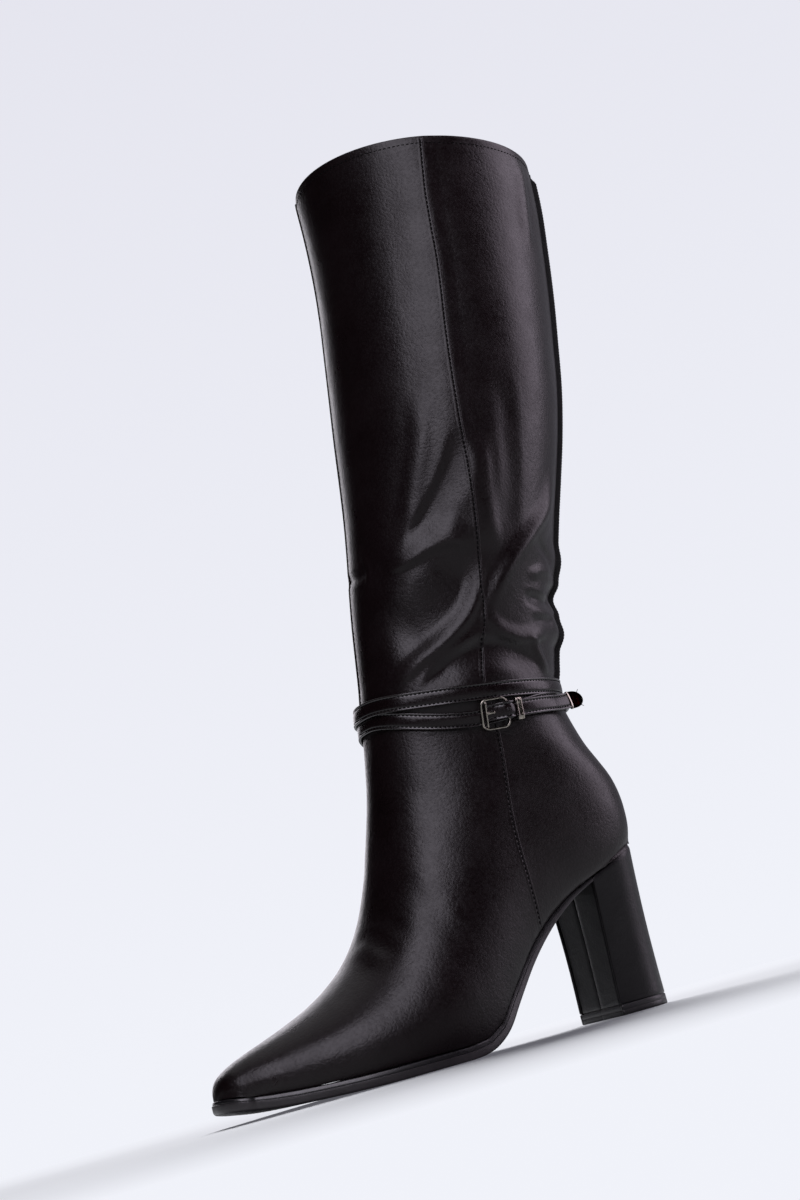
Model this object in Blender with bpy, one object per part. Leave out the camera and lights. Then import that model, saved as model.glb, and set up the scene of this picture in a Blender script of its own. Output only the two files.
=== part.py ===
"""Left knee-high boot on a block heel: a hollow upper and shaft over a last, a stepped
outsole, a covered heel with its top piece, an insole, a side zip, and an ankle strap that
goes round twice and closes with a buckle, a keeper and a metal tip.

Frame: millimetres in the tables, metres in the model. The toe points to -Y, the outer
(lateral) side is +X and +Z is up. The origin is the centre of the heel's ground face."""

import math
from collections import namedtuple

import bmesh
import bpy
import numpy as np
from mathutils import Vector

MM = 0.001                     # tables are in millimetres
GAP = 0.3                      # clearance between pieces that touch

# ---- driving dimensions --------------------------------------------------------------
TOE_Y = -215.7                 # front of the last
TOE_ROUND_Y = -204.0           # where the rounding of the toe starts
SEAT_ROUND_Y = -4.0            # where the rounding of the heel seat starts
SEAT_BACK_Y = 18.3             # back of the heel seat
BREAST_Y = -14.5               # front (breast) of the heel at the seat
WALL = 1.6                     # leather and lining together
SOLE_TOE_OVERHANG = 3.2        # how far the outsole passes the last at the toe
SOLE_PLATE_SEGMENTS = 4        # cells across the top and the bottom of the sole
INSOLE_THICK = 2.0
INSOLE_MARGIN = 1.2            # inside the outline, clear of the upper's wall
INSOLE_TOE_Y = -209.0
TOP_PIECE_THICK = 5.0
HEEL_PROUD = 1.1               # how far the heel's top passes the last
HEEL_BASE_WIDTH = 44.6
HEEL_BASE_DEPTH = 33.4
HEEL_CORNER = 1.6              # rounding of the breast's two edges
HEEL_FLAT_SHARE = 0.4          # part of the depth that the flat sides take
HEEL_SQUARE = 0.92             # 1 for a half ellipse, less for a fuller back
HEEL_BACK_POINTS = 32
HEEL_LEVELS = (0.0, 0.2, 0.45, 0.7, 0.88, 1.0)
HEEL_TAPER = 1.15
HEEL_WAIST = 0.03              # narrowing at half height, as a share of the width
LOWER_CELLS = 6                # cells of half a section below its widest place
UPPER_CELLS = 9                # and above it
SECTION_CELLS = 2 * (LOWER_CELLS + UPPER_CELLS)
STRAP_WIDTH = 8.5
STRAP_THICK = 1.5
WIRE = 1.7                     # thickness of the buckle's wire

# ---- outline of the bottom of the last (its feather line), seen from above -------------
Outline = namedtuple("Outline", "y outer inner")
OUTLINE = (
    Outline(-204, 14.0, 13.0),
    Outline(-196, 18.0, 17.2),
    Outline(-185, 23.2, 22.6),
    Outline(-172, 28.6, 28.0),
    Outline(-158, 33.4, 32.6),
    Outline(-144, 37.0, 35.6),
    Outline(-130, 39.4, 36.8),
    Outline(-116, 40.4, 35.6),
    Outline(-102, 39.6, 31.6),
    Outline(-88, 36.6, 27.0),
    Outline(-74, 32.6, 24.0),
    Outline(-60, 29.0, 22.6),
    Outline(-46, 26.4, 22.2),
    Outline(-30, 25.0, 22.6),
    Outline(-14, 24.8, 23.6),
    Outline(-4, 24.8, 24.2),
    Outline(22, 24.8, 24.2),
)

# ---- long profile of the sole: underside, thickness, and how far its edge stands out ---
Sole = namedtuple("Sole", "y under thick edge")
SOLE = (
    Sole(-220, 7.4, 6.0, 3.0),
    Sole(-210, 5.2, 6.0, 3.1),
    Sole(-198, 3.2, 6.1, 3.1),
    Sole(-175, 1.1, 6.2, 3.1),
    Sole(-155, 0.2, 6.2, 3.2),
    Sole(-142, 0.0, 6.2, 3.2),
    Sole(-125, 0.0, 6.2, 3.2),
    Sole(-108, 0.0, 6.1, 3.2),
    Sole(-101, 0.6, 6.0, 3.0),
    Sole(-94, 2.6, 5.8, 2.7),
    Sole(-83, 9.7, 5.4, 2.3),
    Sole(-76, 17.3, 5.2, 2.0),
    Sole(-68, 26.0, 5.0, 1.8),
    Sole(-60, 34.4, 4.7, 1.7),
    Sole(-52, 41.8, 4.5, 1.6),
    Sole(-40, 51.4, 3.6, 1.5),
    Sole(-27, 59.6, 2.7, 1.3),
    Sole(-14.5, 65.3, 2.0, 1.2),
    Sole(0, 70.7, 2.0, 1.2),
    Sole(12, 75.0, 2.0, 1.2),
    Sole(24, 79.4, 2.0, 1.2),
)

# steps of the outsole's edge: share of the thickness, share of the overhang
EDGE_STEPS = ((0.0, 0.65), (0.12, 1.0), (0.56, 1.0), (0.62, 0.72), (1.0, 0.72))

# ---- sections of the last: each runs from the sole (or the back of the heel) to the ----
# ---- ridge of the foot; heel rows fan out from the front of the ankle ------------------
# wide_at is the share of the way up where the section is widest; crown above 1 peaks its
# top and flare below 1 fills its bottom
Section = namedtuple("Section", "y top_y top_z top_x outer inner wide_at crown flare")
FOOT = (
    Section(-214.9, -214.4, 18.4, 0.0, 5.6, 5.5, 0.40, 0.80, 1.25),
    Section(-213.4, -212.8, 20.8, 0.0, 8.8, 8.6, 0.38, 0.80, 1.25),
    Section(-210.4, -209.8, 23.0, -0.2, 11.7, 11.2, 0.36, 0.82, 1.25),
    Section(-205.2, -204.8, 25.4, -0.4, 14.7, 13.9, 0.34, 0.85, 1.25),
    Section(-198, -197.8, 28.0, -0.7, 18.6, 17.8, 0.33, 0.88, 1.25),
    Section(-187, -187.0, 31.5, -1.2, 23.9, 23.2, 0.32, 0.92, 1.25),
    Section(-174, -174.0, 35.9, -1.8, 29.5, 28.8, 0.31, 0.96, 1.25),
    Section(-161, -160.6, 41.3, -2.3, 34.5, 33.6, 0.30, 1.00, 1.25),
    Section(-147, -148.4, 48.0, -2.8, 38.8, 37.2, 0.29, 1.04, 1.25),
    Section(-134, -137.6, 56.4, -3.0, 41.4, 38.9, 0.27, 1.08, 1.25),
    Section(-121, -128.4, 67.2, -3.0, 42.8, 39.2, 0.26, 1.12, 1.25),
    Section(-109, -121.8, 78.4, -3.0, 42.9, 38.4, 0.26, 1.14, 1.25),
    Section(-98, -117.0, 89.4, -2.8, 41.8, 36.8, 0.28, 1.14, 1.25),
    Section(-88, -113.4, 99.0, -2.6, 40.2, 35.4, 0.30, 1.13, 1.25),
    Section(-78, -110.5, 107.6, -2.4, 38.6, 34.6, 0.33, 1.09, 1.25),
    Section(-67, -107.9, 115.6, -2.2, 37.2, 34.0, 0.36, 1.07, 1.22),
    Section(-55, -105.6, 123.0, -2.0, 36.0, 33.4, 0.40, 1.05, 1.20),
    Section(-42, -103.6, 130.0, -1.8, 35.0, 33.0, 0.43, 1.02, 1.20),
    Section(-28, -101.9, 136.5, -1.6, 34.3, 32.7, 0.46, 0.98, 1.20),
    Section(-14, -100.5, 142.5, -1.4, 33.9, 32.7, 0.49, 0.92, 1.20),
    Section(0, -99.2, 148.0, -1.2, 33.8, 32.8, 0.51, 0.86, 1.17),
    Section(10.0, -98.2, 152.5, -1.0, 33.8, 33.0, 0.52, 0.83, 1.10),
    Section(16.3, -97.4, 156.4, -0.8, 33.8, 33.1, 0.52, 0.81, 1.00),
)

# ---- closed rings: back of the heel, ankle and shaft, up to the collar -----------------
Ring = namedtuple("Ring", "back_y back_z front_y front_z front_x outer inner crown flare")
RINGS = (
    Ring(18.3, 79.7, -96.8, 159.4, -0.7, 33.8, 33.2, 0.79, 0.6),
    Ring(20.9, 86.5, -96.3, 162.0, -0.6, 33.8, 33.3, 0.78, 0.6),
    Ring(21.9, 93.0, -96.0, 164.0, -0.5, 33.9, 33.4, 0.78, 0.63),
    Ring(21.5, 101.0, -95.8, 165.8, -0.4, 34.0, 33.6, 0.79, 0.67),
    Ring(19.3, 110.0, -95.6, 167.2, -0.3, 34.2, 33.9, 0.81, 0.73),
    Ring(15.1, 119.5, -95.5, 168.3, -0.2, 34.6, 34.3, 0.845, 0.8),
    Ring(10.6, 129.5, -95.4, 169.2, -0.1, 35.0, 34.8, 0.88, 0.86),
    Ring(7.4, 140.0, -95.3, 169.9, 0.0, 35.5, 35.3, 0.92, 0.92),
    Ring(4.8, 151.0, -95.2, 170.4, 0.0, 36.0, 35.8, 0.96, 0.96),
    Ring(3.8, 161.5, -95.2, 171.0, 0.0, 36.3, 36.0, 1, 1),
)
Shaft = namedtuple("Shaft", "z centre_y depth outer inner tilt flare")
SHAFT = (
    Shaft(178.0, -43.2, 49.6, 36.8, 36.4, 7.0, 1.00),
    Shaft(190.0, -40.5, 50.1, 37.8, 37.2, 9.5, 1.00),
    Shaft(205.0, -37.0, 50.8, 39.4, 38.8, 12.0, 1.00),
    Shaft(222.0, -32.9, 51.2, 41.8, 41.0, 13.5, 1.00),
    Shaft(240.0, -28.3, 51.6, 44.4, 43.6, 14.0, 1.00),
    Shaft(260.0, -23.0, 52.7, 47.4, 46.6, 14.0, 1.00),
    Shaft(280.0, -17.7, 54.4, 50.2, 49.6, 13.5, 0.99),
    Shaft(302.0, -12.1, 56.4, 52.6, 52.0, 12.5, 0.98),
    Shaft(326.0, -6.6, 57.8, 54.4, 54.0, 11.5, 0.96),
    Shaft(350.0, -2.0, 58.5, 55.4, 55.0, 10.5, 0.95),
    Shaft(375.0, 2.6, 59.1, 56.0, 55.6, 9.8, 0.93),
    Shaft(400.0, 6.3, 59.8, 56.4, 56.0, 9.2, 0.91),
    Shaft(422.0, 8.8, 60.7, 56.8, 56.4, 8.4, 0.90),
    Shaft(444.5, 9.9, 61.2, 57.2, 56.8, 7.8, 0.90),
)


# ---- helpers: curves through tables ----------------------------------------------------
def through(knots, values, at):
    """Smooth curve through (knots, values), read at one or more places."""
    knots = np.asarray(knots, float)
    values = np.asarray(values, float)
    slopes = np.gradient(values, knots)
    at = np.clip(np.asarray(at, float), knots[0], knots[-1])
    cell = np.clip(np.searchsorted(knots, at, side="right") - 1, 0, len(knots) - 2)
    width = knots[cell + 1] - knots[cell]
    t = (at - knots[cell]) / width
    start = values[cell] * (1 + 2 * t) * (1 - t) ** 2 + slopes[cell] * width * t * (1 - t) ** 2
    end = values[cell + 1] * (3 - 2 * t) * t ** 2 - slopes[cell + 1] * width * (1 - t) * t ** 2
    return start + end


def column(rows, name):
    return [getattr(row, name) for row in rows]


def half_width(y, side):
    """Half-width of the feather line at y; side is "outer" or "inner"."""
    reach = float(through(column(OUTLINE, "y"), column(OUTLINE, side), y))
    if y < TOE_ROUND_Y:
        reach = half_width(TOE_ROUND_Y, side)
        return reach * rounding((TOE_ROUND_Y - y) / (TOE_ROUND_Y - TOE_Y), 2.2)
    if y > SEAT_ROUND_Y:
        return reach * rounding((y - SEAT_ROUND_Y) / (SEAT_BACK_Y - SEAT_ROUND_Y), 2.3)
    return reach


def rounding(share, power):
    """1 at the start of a rounded end, 0 at its tip."""
    return max(0.0, 1.0 - min(share, 1.0) ** power) ** (1.0 / power)


def sole_under(y):
    return float(through(column(SOLE, "y"), column(SOLE, "under"), y))


def sole_slope(y):
    return sole_under(y + 0.5) - sole_under(y - 0.5)


def sole_over(y):
    """Height of the sole's upper side, from its underside and its thickness."""
    thick = float(through(column(SOLE, "y"), column(SOLE, "thick"), y))
    return sole_under(y) + thick * math.hypot(1.0, sole_slope(y))


SEAT_KNOTS = [-220.0] + [row.y for row in FOOT] + [24.0]
SEAT_LINE = [sole_over(y) for y in SEAT_KNOTS]


def sole_top(y):
    """The line that upper, insole and heel share: straight between the foot's sections."""
    return float(np.interp(y, SEAT_KNOTS, SEAT_LINE))


# ---- sections of the upper and the shaft -----------------------------------------------
def half_section(bottom, top, flat, reach, wide_at, crown, flare):
    """Half a section from its bottom edge to its ridge: reach across, and the middle line."""
    low = np.linspace(0.0, math.pi / 2, LOWER_CELLS + 1)
    high = np.linspace(0.0, math.pi / 2, UPPER_CELLS + 1)[1:]
    across = np.concatenate([flat + (reach - flat) * np.sin(low) ** flare,
                             reach * np.maximum(np.cos(high), 0.0) ** crown])
    up = np.concatenate([wide_at * (1.0 - np.cos(low)),
                         wide_at + (1.0 - wide_at) * np.sin(high)])
    middle = np.outer(1.0 - up, bottom) + np.outer(up, top)
    return across, middle


def section_points(bottom, top, flats, reaches, wide_at, crown, flare):
    """A section from its outer bottom edge over the ridge to its inner bottom edge."""
    sides = []
    for sign, flat, reach in ((1, flats[0], reaches[0]), (-1, flats[1], reaches[1])):
        across, middle = half_section(bottom, top, flat, reach, wide_at, crown, flare)
        sides.append(middle + np.outer(sign * across, (1.0, 0.0, 0.0)))
    return np.concatenate([sides[0], sides[1][::-1][1:]])


def foot_section(row):
    bottom = (0.0, row.y, sole_top(row.y) + GAP)
    top = (row.top_x, row.top_y, row.top_z)
    flats = (half_width(row.y, "outer"), half_width(row.y, "inner"))
    return section_points(bottom, top, flats, (row.outer, row.inner), row.wide_at,
                          row.crown, row.flare)


def ring_section(row):
    bottom = (0.0, row.back_y, row.back_z)
    top = (row.front_x, row.front_y, row.front_z)
    return section_points(bottom, top, (0.0, 0.0), (row.outer, row.inner), 0.5, row.crown,
                          row.flare)


def shaft_ring(row):
    """A row of the shaft as a ring whose front is tilted up."""
    tilt = math.radians(row.tilt)
    run = row.depth * math.cos(tilt)
    rise = row.depth * math.sin(tilt)
    return Ring(row.centre_y + run, row.z - rise, row.centre_y - run, row.z + rise, 0.0,
                row.outer, row.inner, 1.0, row.flare)


def ring_axis(points):
    """Upward normal of a ring's plane."""
    axis = np.cross((1.0, 0.0, 0.0), points[SECTION_CELLS // 2] - points[0])
    axis = axis / np.linalg.norm(axis)
    return axis if axis[2] > 0 else -axis


UPPER_ROWS = [foot_section(row) for row in FOOT] + [ring_section(row) for row in RINGS]
FIRST_RING = len(FOOT)
SHAFT_ROWS = [UPPER_ROWS[-1] + GAP * ring_axis(UPPER_ROWS[-1])]
SHAFT_ROWS += [ring_section(shaft_ring(row)) for row in SHAFT]


# ---- helpers: objects ------------------------------------------------------------------
def material(name, colour, roughness, metallic=0.0):
    made = bpy.data.materials.new(name)
    made.use_nodes = True
    shader = made.node_tree.nodes["Principled BSDF"]
    shader.inputs["Base Color"].default_value = (*colour, 1.0)
    shader.inputs["Roughness"].default_value = roughness
    shader.inputs["Metallic"].default_value = metallic
    return made


def add_object(name, points, faces, finish, origin=(0.0, 0.0, 0.0), smooth_under=40.0):
    """A mesh object from points in millimetres, with its origin where given."""
    mesh = bpy.data.meshes.new(name)
    centre = np.asarray(origin, float)
    mesh.from_pydata([tuple((np.asarray(p) - centre) * MM) for p in points], [], faces)
    form = bmesh.new()
    form.from_mesh(mesh)
    bmesh.ops.recalc_face_normals(form, faces=form.faces)
    form.to_mesh(mesh)
    form.free()
    mesh.shade_smooth()
    mesh.set_sharp_from_angle(angle=math.radians(smooth_under))
    mesh.materials.append(finish)
    made = bpy.data.objects.new(name, mesh)
    made.location = Vector(centre * MM)
    bpy.context.scene.collection.objects.link(made)
    return made


def vertex_normals(points, faces):
    """Unit normals of an open skin, from the turning sense of its faces."""
    normals = np.zeros_like(points)
    for face in faces:
        corners = points[list(face)]
        middle = corners.mean(axis=0)
        for index, corner in enumerate(corners):
            following = corners[(index + 1) % len(corners)]
            normals[list(face)] += np.cross(corner - middle, following - middle)
    return normals / np.linalg.norm(normals, axis=1)[:, None]


def shell(skin, faces, rims, rim_axes, wall):
    """Closed solid between the last's skin and its copy moved outwards by the wall; the
    rims stay in their planes."""
    normals = vertex_normals(skin, faces)
    for index, axis in rim_axes.items():
        flat = normals[index] - np.dot(normals[index], axis) * axis
        normals[index] = flat / np.linalg.norm(flat)
    count = len(skin)
    points = np.concatenate([skin, skin - normals * wall])
    inner = [tuple(count + i for i in reversed(face)) for face in faces]
    edges = [(a, b, b + count, a + count) for a, b in rims]
    return points, list(faces) + inner + edges


def loft(rows, closed=True, caps=True):
    """Skin through rows of equally many points, with end caps."""
    count = len(rows[0])
    points = np.concatenate(rows)
    faces = []
    last = count if closed else count - 1
    for row in range(len(rows) - 1):
        for place in range(last):
            a = row * count + place
            b = row * count + (place + 1) % count
            faces.append((a, b, b + count, a + count))
    if caps:
        faces.append(tuple(range(count)))
        start = (len(rows) - 1) * count
        faces.append(tuple(range(start, start + count)))
    return points, faces


# ---- upper -----------------------------------------------------------------------------
def make_upper(finish):
    """Vamp and counter in one skin: open underneath and at the ankle."""
    count = SECTION_CELLS
    index = {}
    points = []
    for row, section in enumerate(UPPER_ROWS):
        ring = row >= FIRST_RING
        for place in range(count + 1):
            if ring and place == count:
                index[row, place] = index[row, 0]
                continue
            index[row, place] = len(points)
            points.append(section[place])
    faces = []
    for row in range(len(UPPER_ROWS) - 1):
        for place in range(count):
            corners = [index[row, place], index[row, place + 1],
                       index[row + 1, place + 1], index[row + 1, place]]
            faces.append(tuple(dict.fromkeys(corners)))
    for place in range(count // 2):
        corners = [index[0, place + 1], index[0, place],
                   index[0, count - place], index[0, count - place - 1]]
        faces.append(tuple(dict.fromkeys(corners)))
    points = np.array(points)
    rims = [(index[0, 0], index[0, count])]
    axes = {}
    for row in range(FIRST_RING):
        for place in (0, count):
            rims.append((index[row, place], index[row + 1, place]))
            axis = np.array((0.0, -sole_slope(points[index[row, place]][1]), 1.0))
            axes[index[row, place]] = axis / np.linalg.norm(axis)
    axes[index[FIRST_RING, 0]] = axes[index[FIRST_RING - 1, 0]]
    top = len(UPPER_ROWS) - 1
    for place in range(count):
        rims.append((index[top, place], index[top, place + 1]))
        axes[index[top, place]] = ring_axis(UPPER_ROWS[top])
    points, faces = shell(points, faces, rims, axes, WALL)
    floor = np.array([sole_top(y) + GAP for y in points[:, 1]])
    points[:, 2] = np.maximum(points[:, 2], floor)
    return add_object("upper", points, faces, finish)


# ---- shaft -----------------------------------------------------------------------------
def make_shaft(finish):
    rows = [row[:SECTION_CELLS] for row in SHAFT_ROWS]
    skin, faces = loft(rows, caps=False)
    count = SECTION_CELLS
    rims = []
    axes = {}
    for row in (0, len(rows) - 1):
        for place in range(count):
            here = row * count + place
            rims.append((here, row * count + (place + 1) % count))
            axes[here] = ring_axis(SHAFT_ROWS[row])
    return add_object("shaft", *shell(skin, faces, rims, axes, WALL), finish)


# ---- sole, insole and heel -------------------------------------------------------------
def sole_stations():
    """Places along the sole from toe to breast: the foot's sections, and between them."""
    front = TOE_Y - SOLE_TOE_OVERHANG + 0.15
    knots = [row.y for row in FOOT if row.y < BREAST_Y]
    between = [(one + other) / 2 for one, other in zip(knots[3:], knots[4:])]
    tip = list(np.linspace(front, knots[0], 4)[:-1])
    return sorted(tip + knots + between + [BREAST_Y - GAP])


def make_outsole(finish):
    """Forefoot and arch in one piece, with two steps around its edge."""
    front = TOE_Y - SOLE_TOE_OVERHANG
    rows = []
    for y in sole_stations():
        shift = SOLE_TOE_OVERHANG * max(0.0, (TOE_ROUND_Y - y) / (TOE_ROUND_Y - front))
        outer = half_width(y + shift, "outer")
        inner = half_width(y + shift, "inner")
        edge = float(through(column(SOLE, "y"), column(SOLE, "edge"), y))
        low = sole_under(y)
        high = sole_top(y)
        section = []
        for share in np.linspace(-1.0, 1.0, SOLE_PLATE_SEGMENTS + 1)[1:-1]:
            section.append((share * (outer if share > 0 else inner), y, low))
        for height, reach in EDGE_STEPS:
            section.append((outer + edge * reach, y, low + (high - low) * height))
        for share in np.linspace(1.0, -1.0, SOLE_PLATE_SEGMENTS + 1)[1:-1]:
            section.append((share * (outer if share > 0 else inner), y, high))
        for height, reach in reversed(EDGE_STEPS):
            section.append((-inner - edge * reach, y, low + (high - low) * height))
        rows.append(np.array(section))
    return add_object("outsole", *loft(rows), finish)


def make_insole(finish):
    """Thin board inside the upper, on the outsole and the heel seat."""
    rows = []
    back = SEAT_BACK_Y - INSOLE_MARGIN - 1.0
    stations = [y for y in sole_stations() if y > INSOLE_TOE_Y]
    for y in stations + list(np.linspace(BREAST_Y + 4.0, back, 6)):
        outer = max(half_width(y, "outer") - INSOLE_MARGIN, 3.0)
        inner = max(half_width(y, "inner") - INSOLE_MARGIN, 3.0)
        low = sole_top(y) + GAP
        high = low + INSOLE_THICK * math.hypot(1.0, sole_slope(y))
        rows.append(np.array([
            (-inner, y, low), (0.0, y, low), (outer, y, low),
            (outer, y, high), (0.0, y, high), (-inner, y, high)]))
    return add_object("insole", *loft(rows), finish)


def heel_outline(front, back, outer, inner):
    """D-shaped outline: flat breast with small corners and a rounded back."""
    start = front + (back - front) * HEEL_FLAT_SHARE
    cut = HEEL_CORNER * 0.27
    points = [(-inner + HEEL_CORNER, front), (0.0, front), (outer - HEEL_CORNER, front)]
    points += [(outer - cut, front + cut), (outer, front + HEEL_CORNER)]
    for turn in np.linspace(0.0, math.pi, HEEL_BACK_POINTS):
        reach = outer if turn <= math.pi / 2 else inner
        x = reach * math.copysign(abs(math.cos(turn)) ** HEEL_SQUARE, math.cos(turn))
        points.append((x, start + (back - start) * math.sin(turn) ** HEEL_SQUARE))
    points += [(-inner, front + HEEL_CORNER), (-inner + cut, front + cut)]
    return np.array(points)


def make_heel(finish):
    """Covered block: the seat's outline above, a narrower D below."""
    base = TOP_PIECE_THICK + GAP
    top = heel_outline(BREAST_Y, SEAT_BACK_Y + HEEL_PROUD,
                       half_width(SEAT_ROUND_Y, "outer") + HEEL_PROUD,
                       half_width(SEAT_ROUND_Y, "inner") + HEEL_PROUD)
    bottom = heel_outline(-HEEL_BASE_DEPTH / 2, HEEL_BASE_DEPTH / 2, HEEL_BASE_WIDTH / 2,
                          HEEL_BASE_WIDTH / 2)
    rows = []
    seat = np.array([sole_top(y) for _, y in top])
    for share in HEEL_LEVELS:
        plan = bottom + (top - bottom) * share ** HEEL_TAPER
        plan = plan * (1.0 - HEEL_WAIST * math.sin(math.pi * share))
        rows.append(np.column_stack([plan, base + (seat - base) * share]))
    return add_object("heel", *loft(rows), finish)


def make_top_piece(finish):
    plan = heel_outline(-HEEL_BASE_DEPTH / 2, HEEL_BASE_DEPTH / 2, HEEL_BASE_WIDTH / 2,
                        HEEL_BASE_WIDTH / 2)
    rows = [np.column_stack([plan, np.full(len(plan), z)]) for z in (0.0, TOP_PIECE_THICK)]
    return add_object("heel_top_piece", *loft(rows), finish)


# ---- ankle strap -----------------------------------------------------------------------
STRAP_AROUND = SECTION_CELLS
STRAP_FRONT_Y = -96.0
STRAP_BACK_Y = 6.0


def strap_share(y):
    """0 at the back of the ankle, 1 at its front."""
    return min(max((STRAP_BACK_Y - y) / (STRAP_BACK_Y - STRAP_FRONT_Y), 0.0), 1.0)


def upper_turn_z(y):
    """Middle of the strap's upper turn, which climbs towards the front."""
    return 162.3 + 8.9 * strap_share(y) ** 2.2


def lower_turn_z(y):
    """Middle of the lower turn, just under the upper one at the front."""
    return 152.6 + 9.0 * strap_share(y) ** 2.8


# sections around the ankle, below and above its seam
ANKLE_ROWS = UPPER_ROWS[FIRST_RING - 8:] + SHAFT_ROWS[1:4]


def ankle_point(around, height):
    """Point on the boot around the ankle: 0 at the back, a quarter at the outer side."""
    place = (around % 1.0) * SECTION_CELLS
    cell = int(place) % SECTION_CELLS
    share = place - int(place)
    column_points = np.array([row[cell] * (1 - share) + row[cell + 1] * share
                              for row in ANKLE_ROWS])
    z = column_points[:, 2]
    wanted = height(column_points[len(z) // 2, 1])
    wanted = height(np.interp(wanted, z, column_points[:, 1]))
    return np.array([np.interp(wanted, z, column_points[:, axis]) for axis in range(3)])


def ankle_frame(around, height):
    """Under a band at one place: the last at its lower and upper edge, and outward."""
    step = 0.004
    along = ankle_point(around + step, height) - ankle_point(around - step, height)
    low = ankle_point(around, lambda y: height(y) - STRAP_WIDTH / 2)
    high = ankle_point(around, lambda y: height(y) + STRAP_WIDTH / 2)
    outward = np.cross(high - low, along)
    outward = outward / np.linalg.norm(outward)
    return low, high, outward


def band(places, height, lift, thick):
    """Rows of a strip of leather round the ankle; lift is its clearance at each place."""
    rows = []
    for around, clear in zip(places, lift):
        low, high, outward = ankle_frame(around, height)
        near = outward * clear
        far = outward * (clear + thick)
        rows.append(np.array([low + near, high + near, high + far, low + far]))
    return rows


def place_behind(start, distance):
    """Place round the ankle a distance behind the start, along the lower turn's face."""
    places = start - np.linspace(-0.06, 0.22, 71)
    line = []
    for place in places:
        low, high, outward = ankle_frame(place, lower_turn_z)
        line.append((low + high) / 2 + outward * UNDER_BAND)
    line = np.array(line)
    steps = np.linalg.norm(np.diff(line, axis=0), axis=1)
    along = np.concatenate([[0.0], np.cumsum(steps)])
    zero = np.interp(-start, -places, along)
    return float(np.interp(zero + distance, along, places))


BAND_CLEAR = WALL + 0.6       # off the last; bands bridge the hollow of the ankle
UNDER_BAND = BAND_CLEAR + STRAP_THICK + GAP
BUCKLE_AT = 0.217              # the buckle sits on the outer side, before the widest place
BUCKLE_LONG = 13.5
BUCKLE_TALL = 15.5
BUCKLE_LOWER = 0.8             # it hangs a little low on the strap
BUCKLE_OFF = 0.15              # off the free end's own level
REAR_BAR = BUCKLE_LONG / 2 - WIRE / 2
END_STARTS = -BUCKLE_LONG / 2 + WIRE + GAP
END_STOPS = 48.0               # from the buckle's middle, round to the back
END_LEAVES = 38.0              # where it stops following the ankle
ANKLE_ROUND = 26.0
END_THICK = 1.4
KEEPER_FROM = 10.2
KEEPER_LONG = 3.2
KEEPER_THICK = 1.1
TIP_LONG = 10.0
TIP_PROUD = 0.3                # wider than the leather, each side
TIP_FLAT = 0.6                 # part of the width between its bevelled edges
TIP_ROWS = ((0.0, 1.0, 1.1), (0.35, 1.0, 1.0), (0.6, 0.92, 0.95), (0.8, 0.75, 0.85),
            (0.93, 0.5, 0.75), (1.0, 0.2, 0.6))

# zip slider near the collar on the inner side; sizes in (rise, out) off the leather
SLIDER_AT = 0.745
SLIDER_Z = 434.0
SLIDER_SPAN = 5.0
SLIDER_HALF = 3.6
SLIDER_PLATE = ((-5.4, 0.0), (5.4, 0.0), (5.0, 1.4), (-5.0, 1.4))
BRIDGE_HALF = 1.0
BRIDGE_OUTER = ((-1.6, 1.2), (-1.6, 4.4), (4.4, 4.4), (4.4, 1.2))
BRIDGE_INNER = ((-0.6, 1.2), (-0.6, 3.5), (3.4, 3.5), (3.4, 1.2))
PULL_RISE = 2.4                # the crossbar's middle, the pull's axis
PULL_OUT = 2.45
PULL_THICK = 1.1
Pull = namedtuple("Pull", "hole_side hole_rise edge_side edge_rise")
PULL = (
    Pull(1.5, -0.55, 2.7, 0.55),
    Pull(-1.5, -0.55, -2.7, 0.55),
    Pull(-1.5, -5.2, -2.9, -6.4),
    Pull(-1.0, -5.2, -3.1, -20.0),
    Pull(-0.5, -5.2, -2.2, -22.5),
    Pull(0.5, -5.2, 2.2, -22.5),
    Pull(1.0, -5.2, 3.1, -20.0),
    Pull(1.5, -5.2, 2.9, -6.4),
)


def end_lift(distance):
    """How far the free end is raised: over the buckle's rear bar, and off the ankle's
    back, where it goes straight on."""
    reach = 6.0 if distance < REAR_BAR else 4.2
    over = WIRE + BUCKLE_OFF + 1.5 * GAP
    leaving = max(distance - END_LEAVES, 0.0) ** 2 / (2 * ANKLE_ROUND)
    return over * math.exp(-((distance - REAR_BAR) / reach) ** 2) + leaving


def ring_of(rows):
    """Closed loft of rows that run round a loop."""
    count = len(rows[0])
    points, faces = loft(list(rows) + [rows[0]], caps=False)
    keep = len(points) - count
    return points[:keep], [tuple(index % keep for index in face) for face in faces]


def make_strap(finish):
    around = np.arange(STRAP_AROUND) / STRAP_AROUND
    clear = np.full(STRAP_AROUND, BAND_CLEAR)
    turn = ring_of(band(around, upper_turn_z, clear, STRAP_THICK))
    add_object("strap_upper_turn", *turn, finish)
    turn = ring_of(band(around, lower_turn_z, clear, STRAP_THICK))
    add_object("strap_lower_turn", *turn, finish)
    distances = np.linspace(END_STARTS, END_STOPS, 22)
    half = STRAP_WIDTH / 2
    rows = []
    for distance in distances:
        low = end_lift(distance)
        rows.append(np.array([on_strap(distance, rise, out) for rise, out in (
            (-half, low), (half, low), (half, low + END_THICK), (-half, low + END_THICK))]))
    add_object("strap_end", *loft(rows), finish)


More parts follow.
